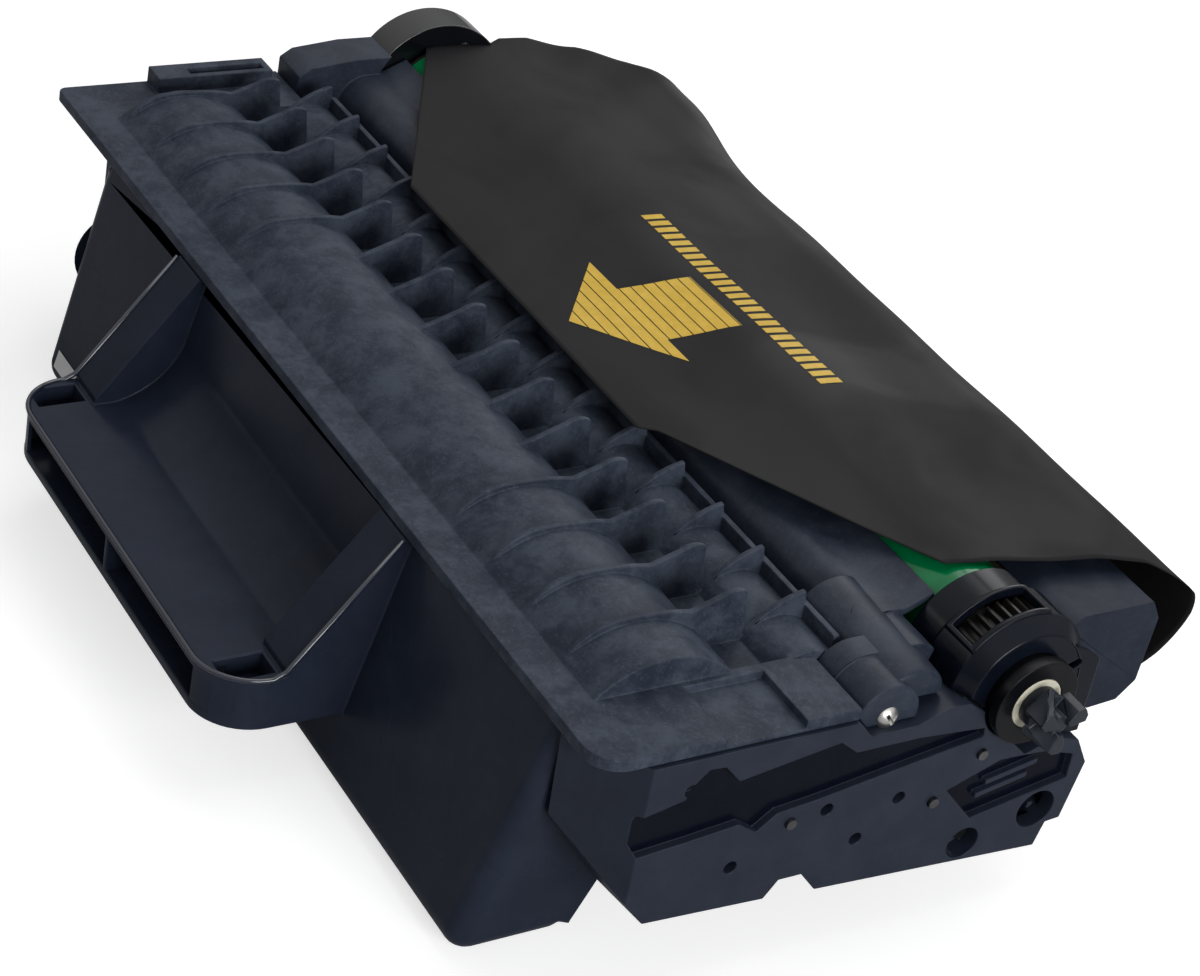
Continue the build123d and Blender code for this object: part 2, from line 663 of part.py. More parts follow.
with BuildPart() as drive_coupling:
    bar(drum, coupling_shaft_radius, drum_near_x + 5.0, ring_near_x + 0.5)
    bar(drum, coupling_radius, ring_near_x, claw_root_x)
    bar(drum, 2.4, claw_root_x - 0.5, coupling_tip_x - 1.5)
    for angle in (30.0, 150.0, 270.0):
        with BuildPart(mode=Mode.PRIVATE) as claw:
            for x, back in ((claw_root_x - 1.0, 66.0), (coupling_tip_x, 20.0)):
                with BuildSketch(across(x)):
                    with BuildLine():
                        Polyline(*claw_section(claw_radius, angle - back, angle + 24.0), close=True)
                    make_face()
            loft(ruled=True)
        add(claw.part)
finish(drive_coupling.part, "drive_coupling")

# Drum tube, its gear flange and its far flange
with BuildPart() as opc_drum:
    bar(drum, drum_radius, drum_far_x, drum_near_x)
    bar(drum, drum_radius - drum_wall, drum_far_x, drum_near_x, mode=Mode.SUBTRACT)
finish(opc_drum.part, "opc_drum")

with BuildPart() as drum_gear:
    gear_wheel(drum, drum_teeth, 0.0)
    bar(drum, drum_radius - drum_wall, drum_near_x - flange_plug, drum_near_x)
    bar(drum, drum_radius, drum_near_x, drum_near_x + flange_rim)
    bar(drum, 9.0, drum_near_x, gear_far_x)
    bar(drum, coupling_shaft_radius, drum_near_x - 10.0, half_length, mode=Mode.SUBTRACT)
finish(drum_gear.part, "drum_gear")

with BuildPart() as far_drum_flange:
    bar(drum, drum_radius - drum_wall, drum_far_x, drum_far_x + flange_plug)
    bar(drum, drum_radius, drum_far_x - flange_rim, drum_far_x)
    bar(drum, pin_radius + running_clearance, drum_far_x - 4.0, drum_far_x + 8.0, mode=Mode.SUBTRACT)
finish(far_drum_flange.part, "far_drum_flange")

# Far drum cover: a dished disc that carries the pivot pin
dish_depth = 3.0
with BuildPart() as far_bearing_cover:
    bar(drum, far_cover_radius, far_cover_face_x, cover_far_seat_x)
    bar(drum, far_cover_radius - far_cover_wall, far_cover_face_x - 1.0, far_cover_face_x + dish_depth,
        mode=Mode.SUBTRACT)
    bar(drum, 8.0, far_cover_face_x, cover_far_seat_x)
    bar(drum, pin_radius, far_cover_face_x + 2.0, cover_far_seat_x + 1.0, mode=Mode.SUBTRACT)
    bar(beside(drum, 15.0, 60.0), 3.0, far_cover_face_x, cover_far_seat_x + 1.0, mode=Mode.SUBTRACT)
finish(far_bearing_cover.part, "far_bearing_cover")

with BuildPart() as far_drum_pin:
    bar(drum, pin_radius, far_cover_face_x + 2.0, drum_far_x + 9.0)
finish(far_drum_pin.part, "far_drum_pin")

# Rollers: rubber or foam on a steel shaft, each shaft in two bushes
shaft_near_x = gear_near_x + 0.6
shaft_far_x = trough_far_x


def roller(centre, radius, bore, x_from, x_to, name):
    """The sleeve of a roller."""
    with BuildPart() as body:
        bar(centre, radius, x_from, x_to)
        bar(centre, bore, x_from, x_to, mode=Mode.SUBTRACT)
    finish(body.part, name)


def shaft(centre, radius, x_from, x_to, name):
    """A plain steel shaft."""
    with BuildPart() as body:
        bar(centre, radius, x_from, x_to)
    finish(body.part, name)


def bushes(centre, name):
    """The two bushes of a shaft, in the end walls of the trough."""
    with BuildPart() as pair:
        for wall_x in (trough_far_x, hopper_near_x - hopper_wall):
            bar(centre, bush_radius - 0.02, wall_x, wall_x + hopper_wall)
            bar(centre, shaft_radius + running_clearance, wall_x, wall_x + hopper_wall, mode=Mode.SUBTRACT)
    finish(pair.part, name)


def shaft_gear(centre, teeth, phase, bore, name):
    """A gear of the train, bored for its shaft."""
    with BuildPart() as wheel:
        gear_wheel(centre, teeth, phase)
        bar(centre, bore, gear_near_x - gear_width, gear_near_x, mode=Mode.SUBTRACT)
    finish(wheel.part, name)


def mesh_phase(driver_teeth, driver_phase, follower_teeth, angle):
    """Phase of a gear whose tooth gap faces a tooth of its driver along their centre line."""
    driver_step = 360 / driver_teeth
    offset_teeth = ((angle - driver_phase) % driver_step) / driver_step
    follower_step = 360 / follower_teeth
    return angle + 180 + (0.5 + offset_teeth) * follower_step


developer_phase = mesh_phase(drum_teeth, 0.0, developer_teeth, developer_angle)
supply_phase = mesh_phase(developer_teeth, developer_phase, supply_teeth, supply_angle)
idler_phase = mesh_phase(supply_teeth, supply_phase, idler_teeth, idler_angle)
agitator_phase = mesh_phase(idler_teeth, idler_phase, agitator_teeth, agitator_gear_angle)

roller(developer, developer_radius, shaft_radius, roller_far_x, roller_near_x, "developer_roller")
roller(supply, supply_radius, shaft_radius, roller_far_x, roller_near_x, "supply_roller")
roller(charge, charge_radius, charge_shaft_radius, roller_far_x + charge_inset, roller_near_x - charge_inset,
       "charge_roller")
shaft(developer, shaft_radius, shaft_far_x, shaft_near_x, "developer_shaft")
shaft(supply, shaft_radius, shaft_far_x, shaft_near_x, "supply_shaft")
shaft(charge, charge_shaft_radius, roller_far_x, roller_near_x + 2.0, "charge_shaft")
bushes(developer, "developer_bushes")
bushes(supply, "supply_bushes")
shaft_gear(developer, developer_teeth, developer_phase, shaft_radius, "developer_gear")
shaft_gear(supply, supply_teeth, supply_phase, shaft_radius, "supply_gear")
shaft_gear(idler, idler_teeth, idler_phase, idler_post_radius + running_clearance, "idler_gear")
shaft_gear(agitator, agitator_teeth, agitator_phase, shaft_radius, "agitator_gear")

# Charge roller bearings on their springs
bearing_half = 3.4
for side, wall_x in ((-1, roller_far_x), (1, roller_near_x - 2.0)):
    with BuildPart() as charge_bearing:
        with Locations((wall_x + 2.0, charge[0], charge[1] - 0.6)):
            Box(3.6, 2 * bearing_half, 6.4)
        bar(charge, charge_shaft_radius + running_clearance, wall_x, wall_x + 4.0, mode=Mode.SUBTRACT)
    finish(charge_bearing.part, "charge_bearing_far" if side < 0 else "charge_bearing_near")

# Agitator: a shaft with a windowed paddle and a flexible wiper
agitator_far_x = hopper_far_x + 6.6
paddle_far_x = hopper_far_x + 14.0
paddle_near_x = hopper_near_x - 10.0
with BuildPart() as agitator_shaft:
    bar(agitator, shaft_radius, agitator_far_x, shaft_near_x)
    paddle_length = paddle_near_x - paddle_far_x
    with Locations(((paddle_near_x + paddle_far_x) / 2, agitator[0], agitator[1])):
        Box(paddle_length, 2 * paddle_reach, 1.6)
        with GridLocations(paddle_length / 5, 2 * 5.8, 5, 2):
            Box(paddle_length / 5 - 6.0, 3.2, 2.0, mode=Mode.SUBTRACT)
finish(agitator_shaft.part, "agitator_shaft")

with BuildPart() as agitator_wiper:
    with Locations(((paddle_near_x + paddle_far_x) / 2, agitator[0] + 7.0, agitator[1] + 0.8)):
        Box(paddle_length - 4.0, agitator_film_reach - 7.0, agitator_film_thickness,
            align=(Align.CENTER, Align.MIN, Align.MIN))
finish(agitator_wiper.part, "agitator_wiper")

# Doctor blade over the developer roller and cleaning blade against the drum
blade_tip = beside(developer, developer_radius + roller_gap, 112.0)
cleaning_tip = beside(drum, drum_radius + roller_gap, 14.0)
blade_far_x = roller_far_x + 1.0
blade_near_x = roller_near_x - 1.0

with BuildPart() as doctor_bracket:
    prism([(78.6, 57.6), (79.8, 57.6), (79.8, 64.4), (85.4, 64.4), (85.4, 65.6), (78.6, 65.6)], blade_far_x, blade_near_x)
finish(doctor_bracket.part, "doctor_bracket")

with BuildPart() as doctor_blade:
    prism([(79.8, 62.4), blade_tip, (blade_tip[0] + 0.25, blade_tip[1] + 0.45), (79.8, 63.0)], blade_far_x, blade_near_x)
finish(doctor_blade.part, "doctor_blade")

with BuildPart() as cleaning_bracket:
    prism([(127.4, 56.0), (128.6, 56.0), (128.6, 66.6), (138.0, 67.4), (138.0, 68.6), (127.4, 67.8)],
          blade_far_x, blade_near_x)
finish(cleaning_bracket.part, "cleaning_bracket")

with BuildPart() as cleaning_blade:
    prism([cleaning_tip, (127.4, 58.2), (127.4, 60.4), (cleaning_tip[0] + 0.9, cleaning_tip[1] + 1.3)],
          blade_far_x, blade_near_x)
finish(cleaning_blade.part, "cleaning_blade")

# Developer cover: the long rounded bar over the developer roller, its screw boss and its far block
bar_seat_z = trough_top_z + seat_gap
bar_far_x = trough_far_x + seat_gap
block_outline = [
    (plate_back_y + bracket_gap, 66.0), (plate_back_y + bracket_gap, 72.6), (66.0, 75.0), (80.0, 76.6),
    (94.0, 76.6), (97.0, 74.0), (97.0, 40.0), (plate_back_y + bracket_gap, 40.0),
]


def boss_arm():
    """The near end: an arm from the bar to the boss of its screw, clear of the lid and the bracket."""
    boss_y, boss_z = boss_centre
    arm_radius = bar_radius - step
    with BuildPart() as arm:
        with BuildSketch(across(bar_near_x - bar_wall)):
            with BuildLine():
                RadiusArc((boss_y - boss_radius, boss_z), (boss_y, boss_z + boss_radius), boss_radius)
                Line((boss_y, boss_z + boss_radius), (bar_round_y, bar_round_z + arm_radius))
                RadiusArc((bar_round_y, bar_round_z + arm_radius), (bar_round_y + arm_radius, bar_round_z), arm_radius)
                Polyline((bar_round_y + arm_radius, bar_round_z), (bar_round_y + arm_radius, bar_seat_z),
                         (boss_y - boss_radius, bar_seat_z), (boss_y - boss_radius, boss_z))
            make_face()
        extrude(amount=boss_arm_length)
        bar(boss_centre, boss_radius - step, bar_near_x, boss_face_x)
        bar(boss_centre, screw_bore_radius, boss_face_x - 9.0, boss_face_x, mode=Mode.SUBTRACT)
        guide_room = [(0, 0), (bar_round_y - bar_radius, 0), (bar_round_y - bar_radius, 100.0), (0, 100.0)]
        prism(guide_room, bar_near_x - bar_wall, guide_end_x + seat_gap, mode=Mode.SUBTRACT)
        prism(under_bracket, cover_near_seat_x - seat_gap, half_length, mode=Mode.SUBTRACT)
        bar(drum, bracket_radius + window_frame + bracket_gap, bracket_far_x - bracket_gap, half_length,
            mode=Mode.SUBTRACT)
        with Locations((bar_near_x - bar_wall, 0, 0)):
            Box(60.0, 200.0, 2 * bar_seat_z, align=(Align.MIN, Align.CENTER, Align.CENTER), mode=Mode.SUBTRACT)
    return arm.part


def far_block():
    """The far end: a rounded block on the lid, clear of the drum's far cover."""
    with BuildPart() as block:
        prism(block_outline, -half_length, bar_far_x + bar_wall)
        prism(under_bracket, -half_length - 1.0, cover_far_seat_x + seat_gap, mode=Mode.SUBTRACT)
        bar(drum, far_cover_radius + bracket_gap, -half_length - 1.0, bar_far_x + bar_wall, mode=Mode.SUBTRACT)
        with Locations((bar_far_x + bar_wall, 0, 0)):
            Box(60.0, 200.0, 2 * bar_seat_z, align=(Align.MAX, Align.CENTER, Align.CENTER), mode=Mode.SUBTRACT)
    return block.part


near_arm = boss_arm()
end_block = far_block()

with BuildPart() as developer_cover:
    with BuildSketch(across(bar_far_x)):
        with BuildLine():
            round_front_y = bar_round_y - bar_radius
            round_top_z = bar_round_z + bar_radius
            Polyline((round_front_y, bar_seat_z), (round_front_y, bar_round_z))
            RadiusArc((round_front_y, bar_round_z), (bar_round_y, round_top_z), bar_radius)
            Polyline(
                (bar_round_y, round_top_z), (89.5, round_top_z), (bar_lip_y, bar_lip_z),
                (bar_lip_y + 0.6, bar_lip_z - 1.6), (89.8, round_top_z - bar_wall),
                (bar_round_y, round_top_z - bar_wall),
            )
            inner = bar_radius - bar_wall
            RadiusArc((bar_round_y, bar_round_z + inner), (bar_round_y - inner, bar_round_z), -inner)
            Polyline((bar_round_y - inner, bar_round_z), (bar_round_y - inner, bar_seat_z),
                     (round_front_y, bar_seat_z))
        make_face()
    extrude(amount=bar_near_x - bar_far_x)
    add(near_arm)
    add(end_block)
finish(developer_cover.part, "developer_cover")

# Protective film, bent over the fins, the drum and the cleaner
film_line = [(61.5, 75.4), (68.0, 75.3), (94.0, 75.8), (104.0, 77.7), (112.0, 77.7), (128.0, 74.4),
             (150.0, 72.2), (161.0, 67.5), (164.5, 59.0), (160.5, 47.0)]
film_plan = [(-138.0, 103.0), (-66.0, 61.0), (52.0, 61.0), (121.0, 103.0), (124.0, 128.0), (133.0, 152.0),
             (138.0, 168.0), (-118.0, 170.0), (-139.0, 153.0), (-146.0, 139.0), (-138.0, 131.5)]
with BuildPart() as protective_film:
    with BuildSketch(across(-half_length)):
        with BuildLine():
            Polyline(*film_line)
        trace(line_width=film_thickness)
    extrude(amount=plate_length)
    with BuildSketch(Plane.XY):
        with BuildLine():
            Polyline(*film_plan, close=True)
        make_face()
    extrude(amount=100.0, mode=Mode.INTERSECT)
finish(protective_film.part, "protective_film")
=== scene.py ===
"""Looks of a laser toner cartridge with its own drum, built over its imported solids.

Everything is in metres in the frame of the solids: +X along the drum to the drive coupling, +Y from the
handle to the drum, +Z up, with the origin on the surface that the cartridge stands on.
"""
import json
import logging
import math
from dataclasses import dataclass
from enum import Enum

import bmesh
import bpy
from mathutils import Matrix, Vector

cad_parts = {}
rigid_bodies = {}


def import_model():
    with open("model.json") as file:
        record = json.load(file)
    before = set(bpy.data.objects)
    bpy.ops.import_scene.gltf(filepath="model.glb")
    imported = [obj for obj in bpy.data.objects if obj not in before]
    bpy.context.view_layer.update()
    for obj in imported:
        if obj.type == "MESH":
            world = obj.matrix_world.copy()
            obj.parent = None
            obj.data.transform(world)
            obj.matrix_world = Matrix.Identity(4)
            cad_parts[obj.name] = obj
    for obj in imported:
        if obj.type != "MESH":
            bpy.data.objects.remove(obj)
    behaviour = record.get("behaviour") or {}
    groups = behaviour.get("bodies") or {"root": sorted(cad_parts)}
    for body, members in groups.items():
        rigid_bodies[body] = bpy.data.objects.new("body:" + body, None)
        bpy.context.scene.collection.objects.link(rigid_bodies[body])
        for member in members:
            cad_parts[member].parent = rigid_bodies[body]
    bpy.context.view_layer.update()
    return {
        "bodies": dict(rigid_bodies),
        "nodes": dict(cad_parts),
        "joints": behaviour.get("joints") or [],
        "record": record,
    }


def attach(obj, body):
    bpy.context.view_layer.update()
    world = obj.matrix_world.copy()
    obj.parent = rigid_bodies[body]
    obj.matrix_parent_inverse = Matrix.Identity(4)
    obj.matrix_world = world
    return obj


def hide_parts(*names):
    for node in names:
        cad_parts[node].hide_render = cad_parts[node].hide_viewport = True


MM = 0.001
LOG = logging.getLogger("cartridge")

SHARP_ANGLE = math.radians(32.0)
SHADE_ANGLE = math.radians(38.0)
SCREW_SHADE_ANGLE = math.radians(30.0)
FLAT_ANGLE = math.radians(0.5)
WELD = 0.002 * MM
SAME_PLACE = 1e-6
HAIR = 1e-5
FACING_SHARE = 0.9
FLECK_SHARE = 0.5
COAT_ROUGHNESS = 0.08

Point = tuple[float, float]
Place = tuple[float, float, float]
Colour = tuple[float, float, float]


class Skin(Enum):
    """How a mould leaves the surface of a plastic piece."""

    POLISHED = "polished"
    SPARKED = "sparked"
    MOTTLED = "mottled"


# How high the grain of each skin stands, in millimetres
GRAIN_HEIGHTS: dict[Skin, float] = {Skin.POLISHED: 0.0, Skin.SPARKED: 0.012, Skin.MOTTLED: 0.012}


def add_object(name: str, data: bpy.types.ID) -> bpy.types.Object:
    """Puts a mesh, a lamp or a camera into the scene, at the origin.

    Args:
        name: The object's name.
        data: What it shows.

    Returns:
        The new object.
    """
    obj = bpy.data.objects.new(name, data)
    bpy.context.scene.collection.objects.link(obj)
    return obj


# Shader groups that several finishes share


@dataclass(frozen=True)
class NodeCanvas:
    """Adds and feeds nodes in one tree, so that a material reads as a list of steps."""

    tree: bpy.types.NodeTree

    def feed(self, target: bpy.types.NodeSocket, value: object) -> None:
        """Links a socket to an input, or sets the input's own value.

        Args:
            target: The input.
            value: A socket or a value.
        """
        if isinstance(value, bpy.types.NodeSocket):
            self.tree.links.new(value, target)
        else:
            target.default_value = value

    def add(self, kind: str, **values: object) -> bpy.types.Node:
        """Adds a node and sets its properties and its inputs.

        Args:
            kind: The node's type name.
            **values: A property of the node, or what feeds the input of that name, with _ for a space.

        Returns:
            The new node.
        """
        node = self.tree.nodes.new(kind)
        for name, value in values.items():
            if hasattr(node, name):
                setattr(node, name, value)
            else:
                self.feed(node.inputs[name.replace("_", " ")], value)
        return node

    def math(self, operation: str, first: object, second: object = 0.0) -> bpy.types.NodeSocket:
        """Adds a Math node.

        Args:
            operation: The node's operation.
            first: A socket or a number.
            second: A socket or a number.

        Returns:
            The node's output.
        """
        node = self.add("ShaderNodeMath", operation=operation)
        for target, value in zip(node.inputs, (first, second)):
            self.feed(target, value)
        return node.outputs[0]

    def vector(self, **parts: object) -> bpy.types.NodeSocket:
        """Adds a Combine XYZ node.

        Args:
            **parts: What feeds X, Y and Z.

        Returns:
            The vector.
        """
        return self.add("ShaderNodeCombineXYZ", **parts).outputs["Vector"]

    def noise(self, place: bpy.types.NodeSocket, scale: object, **values: object) -> bpy.types.NodeSocket:
        """Adds a noise texture.

        Args:
            place: The position that it reads.
            scale: A socket or a number.
            **values: What feeds its other inputs.

        Returns:
            The noise.
        """
        return self.add("ShaderNodeTexNoise", Vector=place, Scale=scale, **values).outputs["Fac"]

    def ramp(self, value: bpy.types.NodeSocket, low: float, high: float) -> bpy.types.NodeSocket:
        """Maps a value from low to high onto 0 to 1, with soft ends.

        Args:
            value: The socket to map.
            low: The value that gives 0.
            high: The value that gives 1.

        Returns:
            The mapped value.
        """
        node = self.add(
            "ShaderNodeMapRange", interpolation_type="SMOOTHSTEP", From_Min=low, From_Max=high, Value=value,
        )
        return node.outputs["Result"]


class SharedGroups:
    """The shader groups of grain, flow marks and handling marks, each built once."""

    def __init__(self) -> None:
        """Builds the groups."""
        self.grain = self._grain()
        self.flow = self._flow()
        self.handling = self._handling()

    @staticmethod
    def _group(name: str, inputs: dict[str, float], outputs: tuple[str, ...]) -> tuple[NodeCanvas, dict, dict]:
        """Starts a group that reads a position and numbers and gives values.

        Args:
            name: The group's name.
            inputs: The numbers that it takes, with their defaults.
            outputs: The names of the values that it gives.

        Returns:
            The canvas, the input sockets and the output sockets by name.
        """
        tree = bpy.data.node_groups.new(name, "ShaderNodeTree")
        tree.interface.new_socket("Position", in_out="INPUT", socket_type="NodeSocketVector")
        for label, value in inputs.items():
            socket = tree.interface.new_socket(label, in_out="INPUT", socket_type="NodeSocketFloat")
            socket.default_value = value
        for label in outputs:
            tree.interface.new_socket(label, in_out="OUTPUT", socket_type="NodeSocketFloat")
        start = tree.nodes.new("NodeGroupInput")
        end = tree.nodes.new("NodeGroupOutput")
        return NodeCanvas(tree), dict(start.outputs.items()), dict(end.inputs.items())

    def _grain(self) -> bpy.types.NodeTree:
        """Fine spark-eroded grain of a mould, as a height."""
        canvas, given, result = self._group("mould_grain", {"Scale": 900.0, "Softness": 0.5}, ("Height",))
        cells = canvas.noise(given["Position"], given["Scale"], Detail=3.0, Roughness=0.6)
        waves = canvas.noise(given["Position"], canvas.math("MULTIPLY", given["Scale"], 0.08), Detail=1.0)
        soft = canvas.math("MULTIPLY", waves, given["Softness"])
        canvas.feed(result["Height"], canvas.math("ADD", cells, soft))
        return canvas.tree

    def _flow(self) -> bpy.types.NodeTree:
        """Cloudy flow marks and pale flecks of filled plastic, as masks."""
        canvas, given, result = self._group("flow_marks", {"Scale": 60.0, "Warp": 0.25}, ("Cloud", "Fleck"))
        place, scale = given["Position"], given["Scale"]
        cloud = canvas.noise(place, scale, Detail=8.0, Roughness=0.74, Distortion=given["Warp"])
        canvas.feed(result["Cloud"], canvas.ramp(cloud, 0.36, 0.68))
        fleck = canvas.noise(place, canvas.math("MULTIPLY", scale, 14.0), Detail=2.0, Roughness=0.5)
        canvas.feed(result["Fleck"], canvas.ramp(fleck, 0.56, 0.72))
        return canvas.tree

    def _handling(self) -> bpy.types.NodeTree:
        """Faint smears from hands and packing, as a mask for the roughness."""
        canvas, given, result = self._group("handling_marks", {"Scale": 22.0, "Amount": 1.0}, ("Smear",))
        patch = canvas.noise(given["Position"], given["Scale"], Detail=4.0, Roughness=0.55, Distortion=0.8)
        smear = canvas.ramp(patch, 0.42, 0.66)
        canvas.feed(result["Smear"], canvas.math("MULTIPLY", smear, given["Amount"]))
        return canvas.tree


# Finishes of the plastics, the metals and the film


@dataclass(frozen=True)
class Finish:
    """One finish of the cartridge, from which its material is made; its skin sets the grain unless it does."""

    name: str
    colour: Colour
    second_colour: Colour
    roughness: float
    roughness_spread: float
    skin: Skin = Skin.SPARKED
    grain_scale: float = 1400.0
    grain_height: float | None = None
    flow_scale: float = 60.0
    specular: float = 0.3
    metallic: float = 0.0
    coat: float = 0.0

    def material(self, groups: SharedGroups) -> bpy.types.Material:
        """Builds the material.

        Args:
            groups: The shared shader groups.

        Returns:
            The material.
        """
        material = bpy.data.materials.new(self.name)
        material.use_nodes = True
        material.node_tree.nodes.clear()
        canvas = NodeCanvas(material.node_tree)
        place = canvas.add("ShaderNodeTexCoord").outputs["Object"]
        flow = canvas.add("ShaderNodeGroup", node_tree=groups.flow, Position=place, Scale=self.flow_scale)
        blend = flow.outputs["Cloud"]
        if self.skin is Skin.MOTTLED:
            blend = canvas.math("ADD", blend, canvas.math("MULTIPLY", flow.outputs["Fleck"], FLECK_SHARE))
        first, second = (*self.colour, 1.0), (*self.second_colour, 1.0)
        colour = canvas.add("ShaderNodeMix", data_type="RGBA", A=first, B=second, Factor=blend)
        handling = canvas.add("ShaderNodeGroup", node_tree=groups.handling, Position=place)
        spread = canvas.math("MULTIPLY", handling.outputs["Smear"], self.roughness_spread)
        shader = canvas.add(
            "ShaderNodeBsdfPrincipled", Metallic=self.metallic, Specular_IOR_Level=self.specular,
            Coat_Weight=self.coat, Coat_Roughness=COAT_ROUGHNESS, Base_Color=colour.outputs["Result"],
            Roughness=canvas.math("ADD", spread, self.roughness),
        )
        canvas.add("ShaderNodeOutputMaterial", Surface=shader.outputs["BSDF"])
        height = GRAIN_HEIGHTS[self.skin] if self.grain_height is None else self.grain_height
        if height > 0:
            grain = canvas.add(
                "ShaderNodeGroup", node_tree=groups.grain, Position=place, Scale=self.grain_scale,
            )
            bump = canvas.add(
                "ShaderNodeBump", Strength=1.0, Distance=height * MM, Height=grain.outputs["Height"],
            )
            canvas.feed(shader.inputs["Normal"], bump.outputs["Normal"])
        return material


FINISHES: dict[str, Finish] = {
    finish.name: finish
    for finish in (
        Finish("hopper_plastic", (0.0140, 0.0190, 0.0330), (0.0190, 0.0250, 0.0420), 0.22, 0.10,
               Skin.POLISHED, grain_height=0.004, specular=0.09),
        Finish("guide_plastic", (0.0180, 0.0240, 0.0390), (0.0530, 0.0650, 0.0900), 0.52, 0.12,
               Skin.MOTTLED, grain_height=0.030, flow_scale=95.0, specular=0.13),
        Finish("cover_plastic", (0.0145, 0.0190, 0.0315), (0.0200, 0.0260, 0.0415), 0.28, 0.12,
               specular=0.13),
        Finish("bar_plastic", (0.0170, 0.0225, 0.0360), (0.0340, 0.0430, 0.0630), 0.36, 0.12, Skin.MOTTLED,
               specular=0.14),
        Finish("disc_gloss", (0.0030, 0.0034, 0.0050), (0.0044, 0.0050, 0.0072), 0.07, 0.06, Skin.POLISHED,
               specular=0.50),
        # painted shade: the near lid's recess is coloured far darker than the lid, standing in for the shade
        # under the plate's overhang; its low roughness is a real polish
        Finish("recess_polish_painted_shade", (0.0022, 0.0032, 0.0075), (0.0036, 0.0050, 0.0105), 0.14, 0.08,
               Skin.POLISHED, specular=0.06),
        Finish("rim_polish", (0.0120, 0.0160, 0.0290), (0.0170, 0.0220, 0.0380), 0.10, 0.06, Skin.POLISHED,
               specular=0.60),
        Finish("frame_plastic", (0.0105, 0.0148, 0.0260), (0.0190, 0.0250, 0.0400), 0.38, 0.12,
               Skin.MOTTLED, specular=0.12),
        Finish("bracket_plastic", (0.0026, 0.0038, 0.0080), (0.0042, 0.0060, 0.0115), 0.17, 0.10,
               Skin.POLISHED, specular=0.15),
        Finish("bearing_plastic", (0.0028, 0.0030, 0.0042), (0.0050, 0.0052, 0.0068), 0.26, 0.08,
               specular=0.14),
        Finish("coupling_plastic", (0.0120, 0.0160, 0.0230), (0.0190, 0.0240, 0.0330), 0.30, 0.08,
               specular=0.28),
        Finish("ring_acetal", (0.56, 0.53, 0.42), (0.64, 0.61, 0.50), 0.32, 0.08, Skin.POLISHED,
               specular=0.30, grain_height=0.012),
        Finish("gear_acetal", (0.0120, 0.0105, 0.0100), (0.0200, 0.0175, 0.0160), 0.30, 0.10, specular=0.25),
        Finish("drum_coating", (0.0, 0.190, 0.058), (0.0, 0.230, 0.072), 0.14, 0.05, Skin.POLISHED,
               specular=0.25, coat=0.1),
        Finish("turned_steel", (0.50, 0.50, 0.51), (0.60, 0.60, 0.61), 0.24, 0.12, metallic=1.0,
               grain_height=0.004),
        Finish("zinc_sheet", (0.44, 0.46, 0.48), (0.56, 0.57, 0.58), 0.34, 0.14, metallic=1.0,
               flow_scale=120.0),
        Finish("blasted_sleeve", (0.14, 0.14, 0.15), (0.18, 0.18, 0.19), 0.42, 0.08, metallic=0.8,
               grain_height=0.02),
        Finish("soft_rubber", (0.014, 0.014, 0.015), (0.020, 0.020, 0.022), 0.55, 0.10, specular=0.2),
        Finish("supply_foam", (0.035, 0.035, 0.038), (0.055, 0.055, 0.058), 0.85, 0.05, grain_height=0.12,
               grain_scale=1100.0, specular=0.1),
        Finish("blade_urethane", (0.40, 0.30, 0.15), (0.48, 0.38, 0.20), 0.30, 0.06, Skin.POLISHED,
               grain_height=0.012),
        Finish("cap_plastic", (0.050, 0.052, 0.058), (0.070, 0.072, 0.080), 0.42, 0.10, specular=0.2),
        Finish("film_plastic", (0.0120, 0.0118, 0.0130), (0.0145, 0.0143, 0.0156), 0.50, 0.10,
               grain_height=0.006, flow_scale=18.0, specular=0.07),
        Finish("film_ink", (0.66, 0.43, 0.060), (0.74, 0.50, 0.085), 0.48, 0.10, Skin.POLISHED,
               flow_scale=260.0, specular=0.12),
        Finish("dark_steel", (0.10, 0.10, 0.105), (0.16, 0.16, 0.165), 0.32, 0.10, Skin.POLISHED,
               metallic=1.0),
        Finish("screw_steel", (0.52, 0.51, 0.49), (0.66, 0.65, 0.63), 0.30, 0.10, Skin.POLISHED,
               metallic=1.0),
        Finish("blank_label", (0.72, 0.72, 0.72), (0.76, 0.76, 0.76), 0.50, 0.10, Skin.POLISHED,
               specular=0.2),
    )
}

FINISH_NODES: dict[str, tuple[str, ...]] = {
    "hopper_plastic": ("toner_hopper",),
    "cap_plastic": ("fill_cap", "agitator_shaft"),
    "guide_plastic": ("top_cover",),
    "cover_plastic": ("near_end_cover", "far_end_cover"),
    "dark_steel": ("cover_pins",),
    "frame_plastic": ("cleaner_frame",),
    "bracket_plastic": ("drum_end_bracket",),
    "bearing_plastic": ("drum_bearing", "charge_bearing_far", "charge_bearing_near"),
    "ring_acetal": ("coupling_ring", "developer_bushes", "supply_bushes"),
    "coupling_plastic": ("drive_coupling",),
    "drum_coating": ("opc_drum",),
    "gear_acetal": ("drum_gear", "far_drum_flange", "developer_gear", "supply_gear", "idler_gear",
        "agitator_gear"),
    "disc_gloss": ("far_bearing_cover",),
    "turned_steel": ("far_drum_pin", "developer_shaft", "supply_shaft", "charge_shaft"),
    "blasted_sleeve": ("developer_roller",),
    "supply_foam": ("supply_roller",),
    "soft_rubber": ("charge_roller",),
    "film_plastic": ("agitator_wiper", "protective_film"),
    "zinc_sheet": ("doctor_bracket", "cleaning_bracket"),
    "blade_urethane": ("doctor_blade", "cleaning_blade"),
    "bar_plastic": ("developer_cover",),
}
NODE_FINISH = {node: finish for finish, nodes in FINISH_NODES.items() for node in nodes}

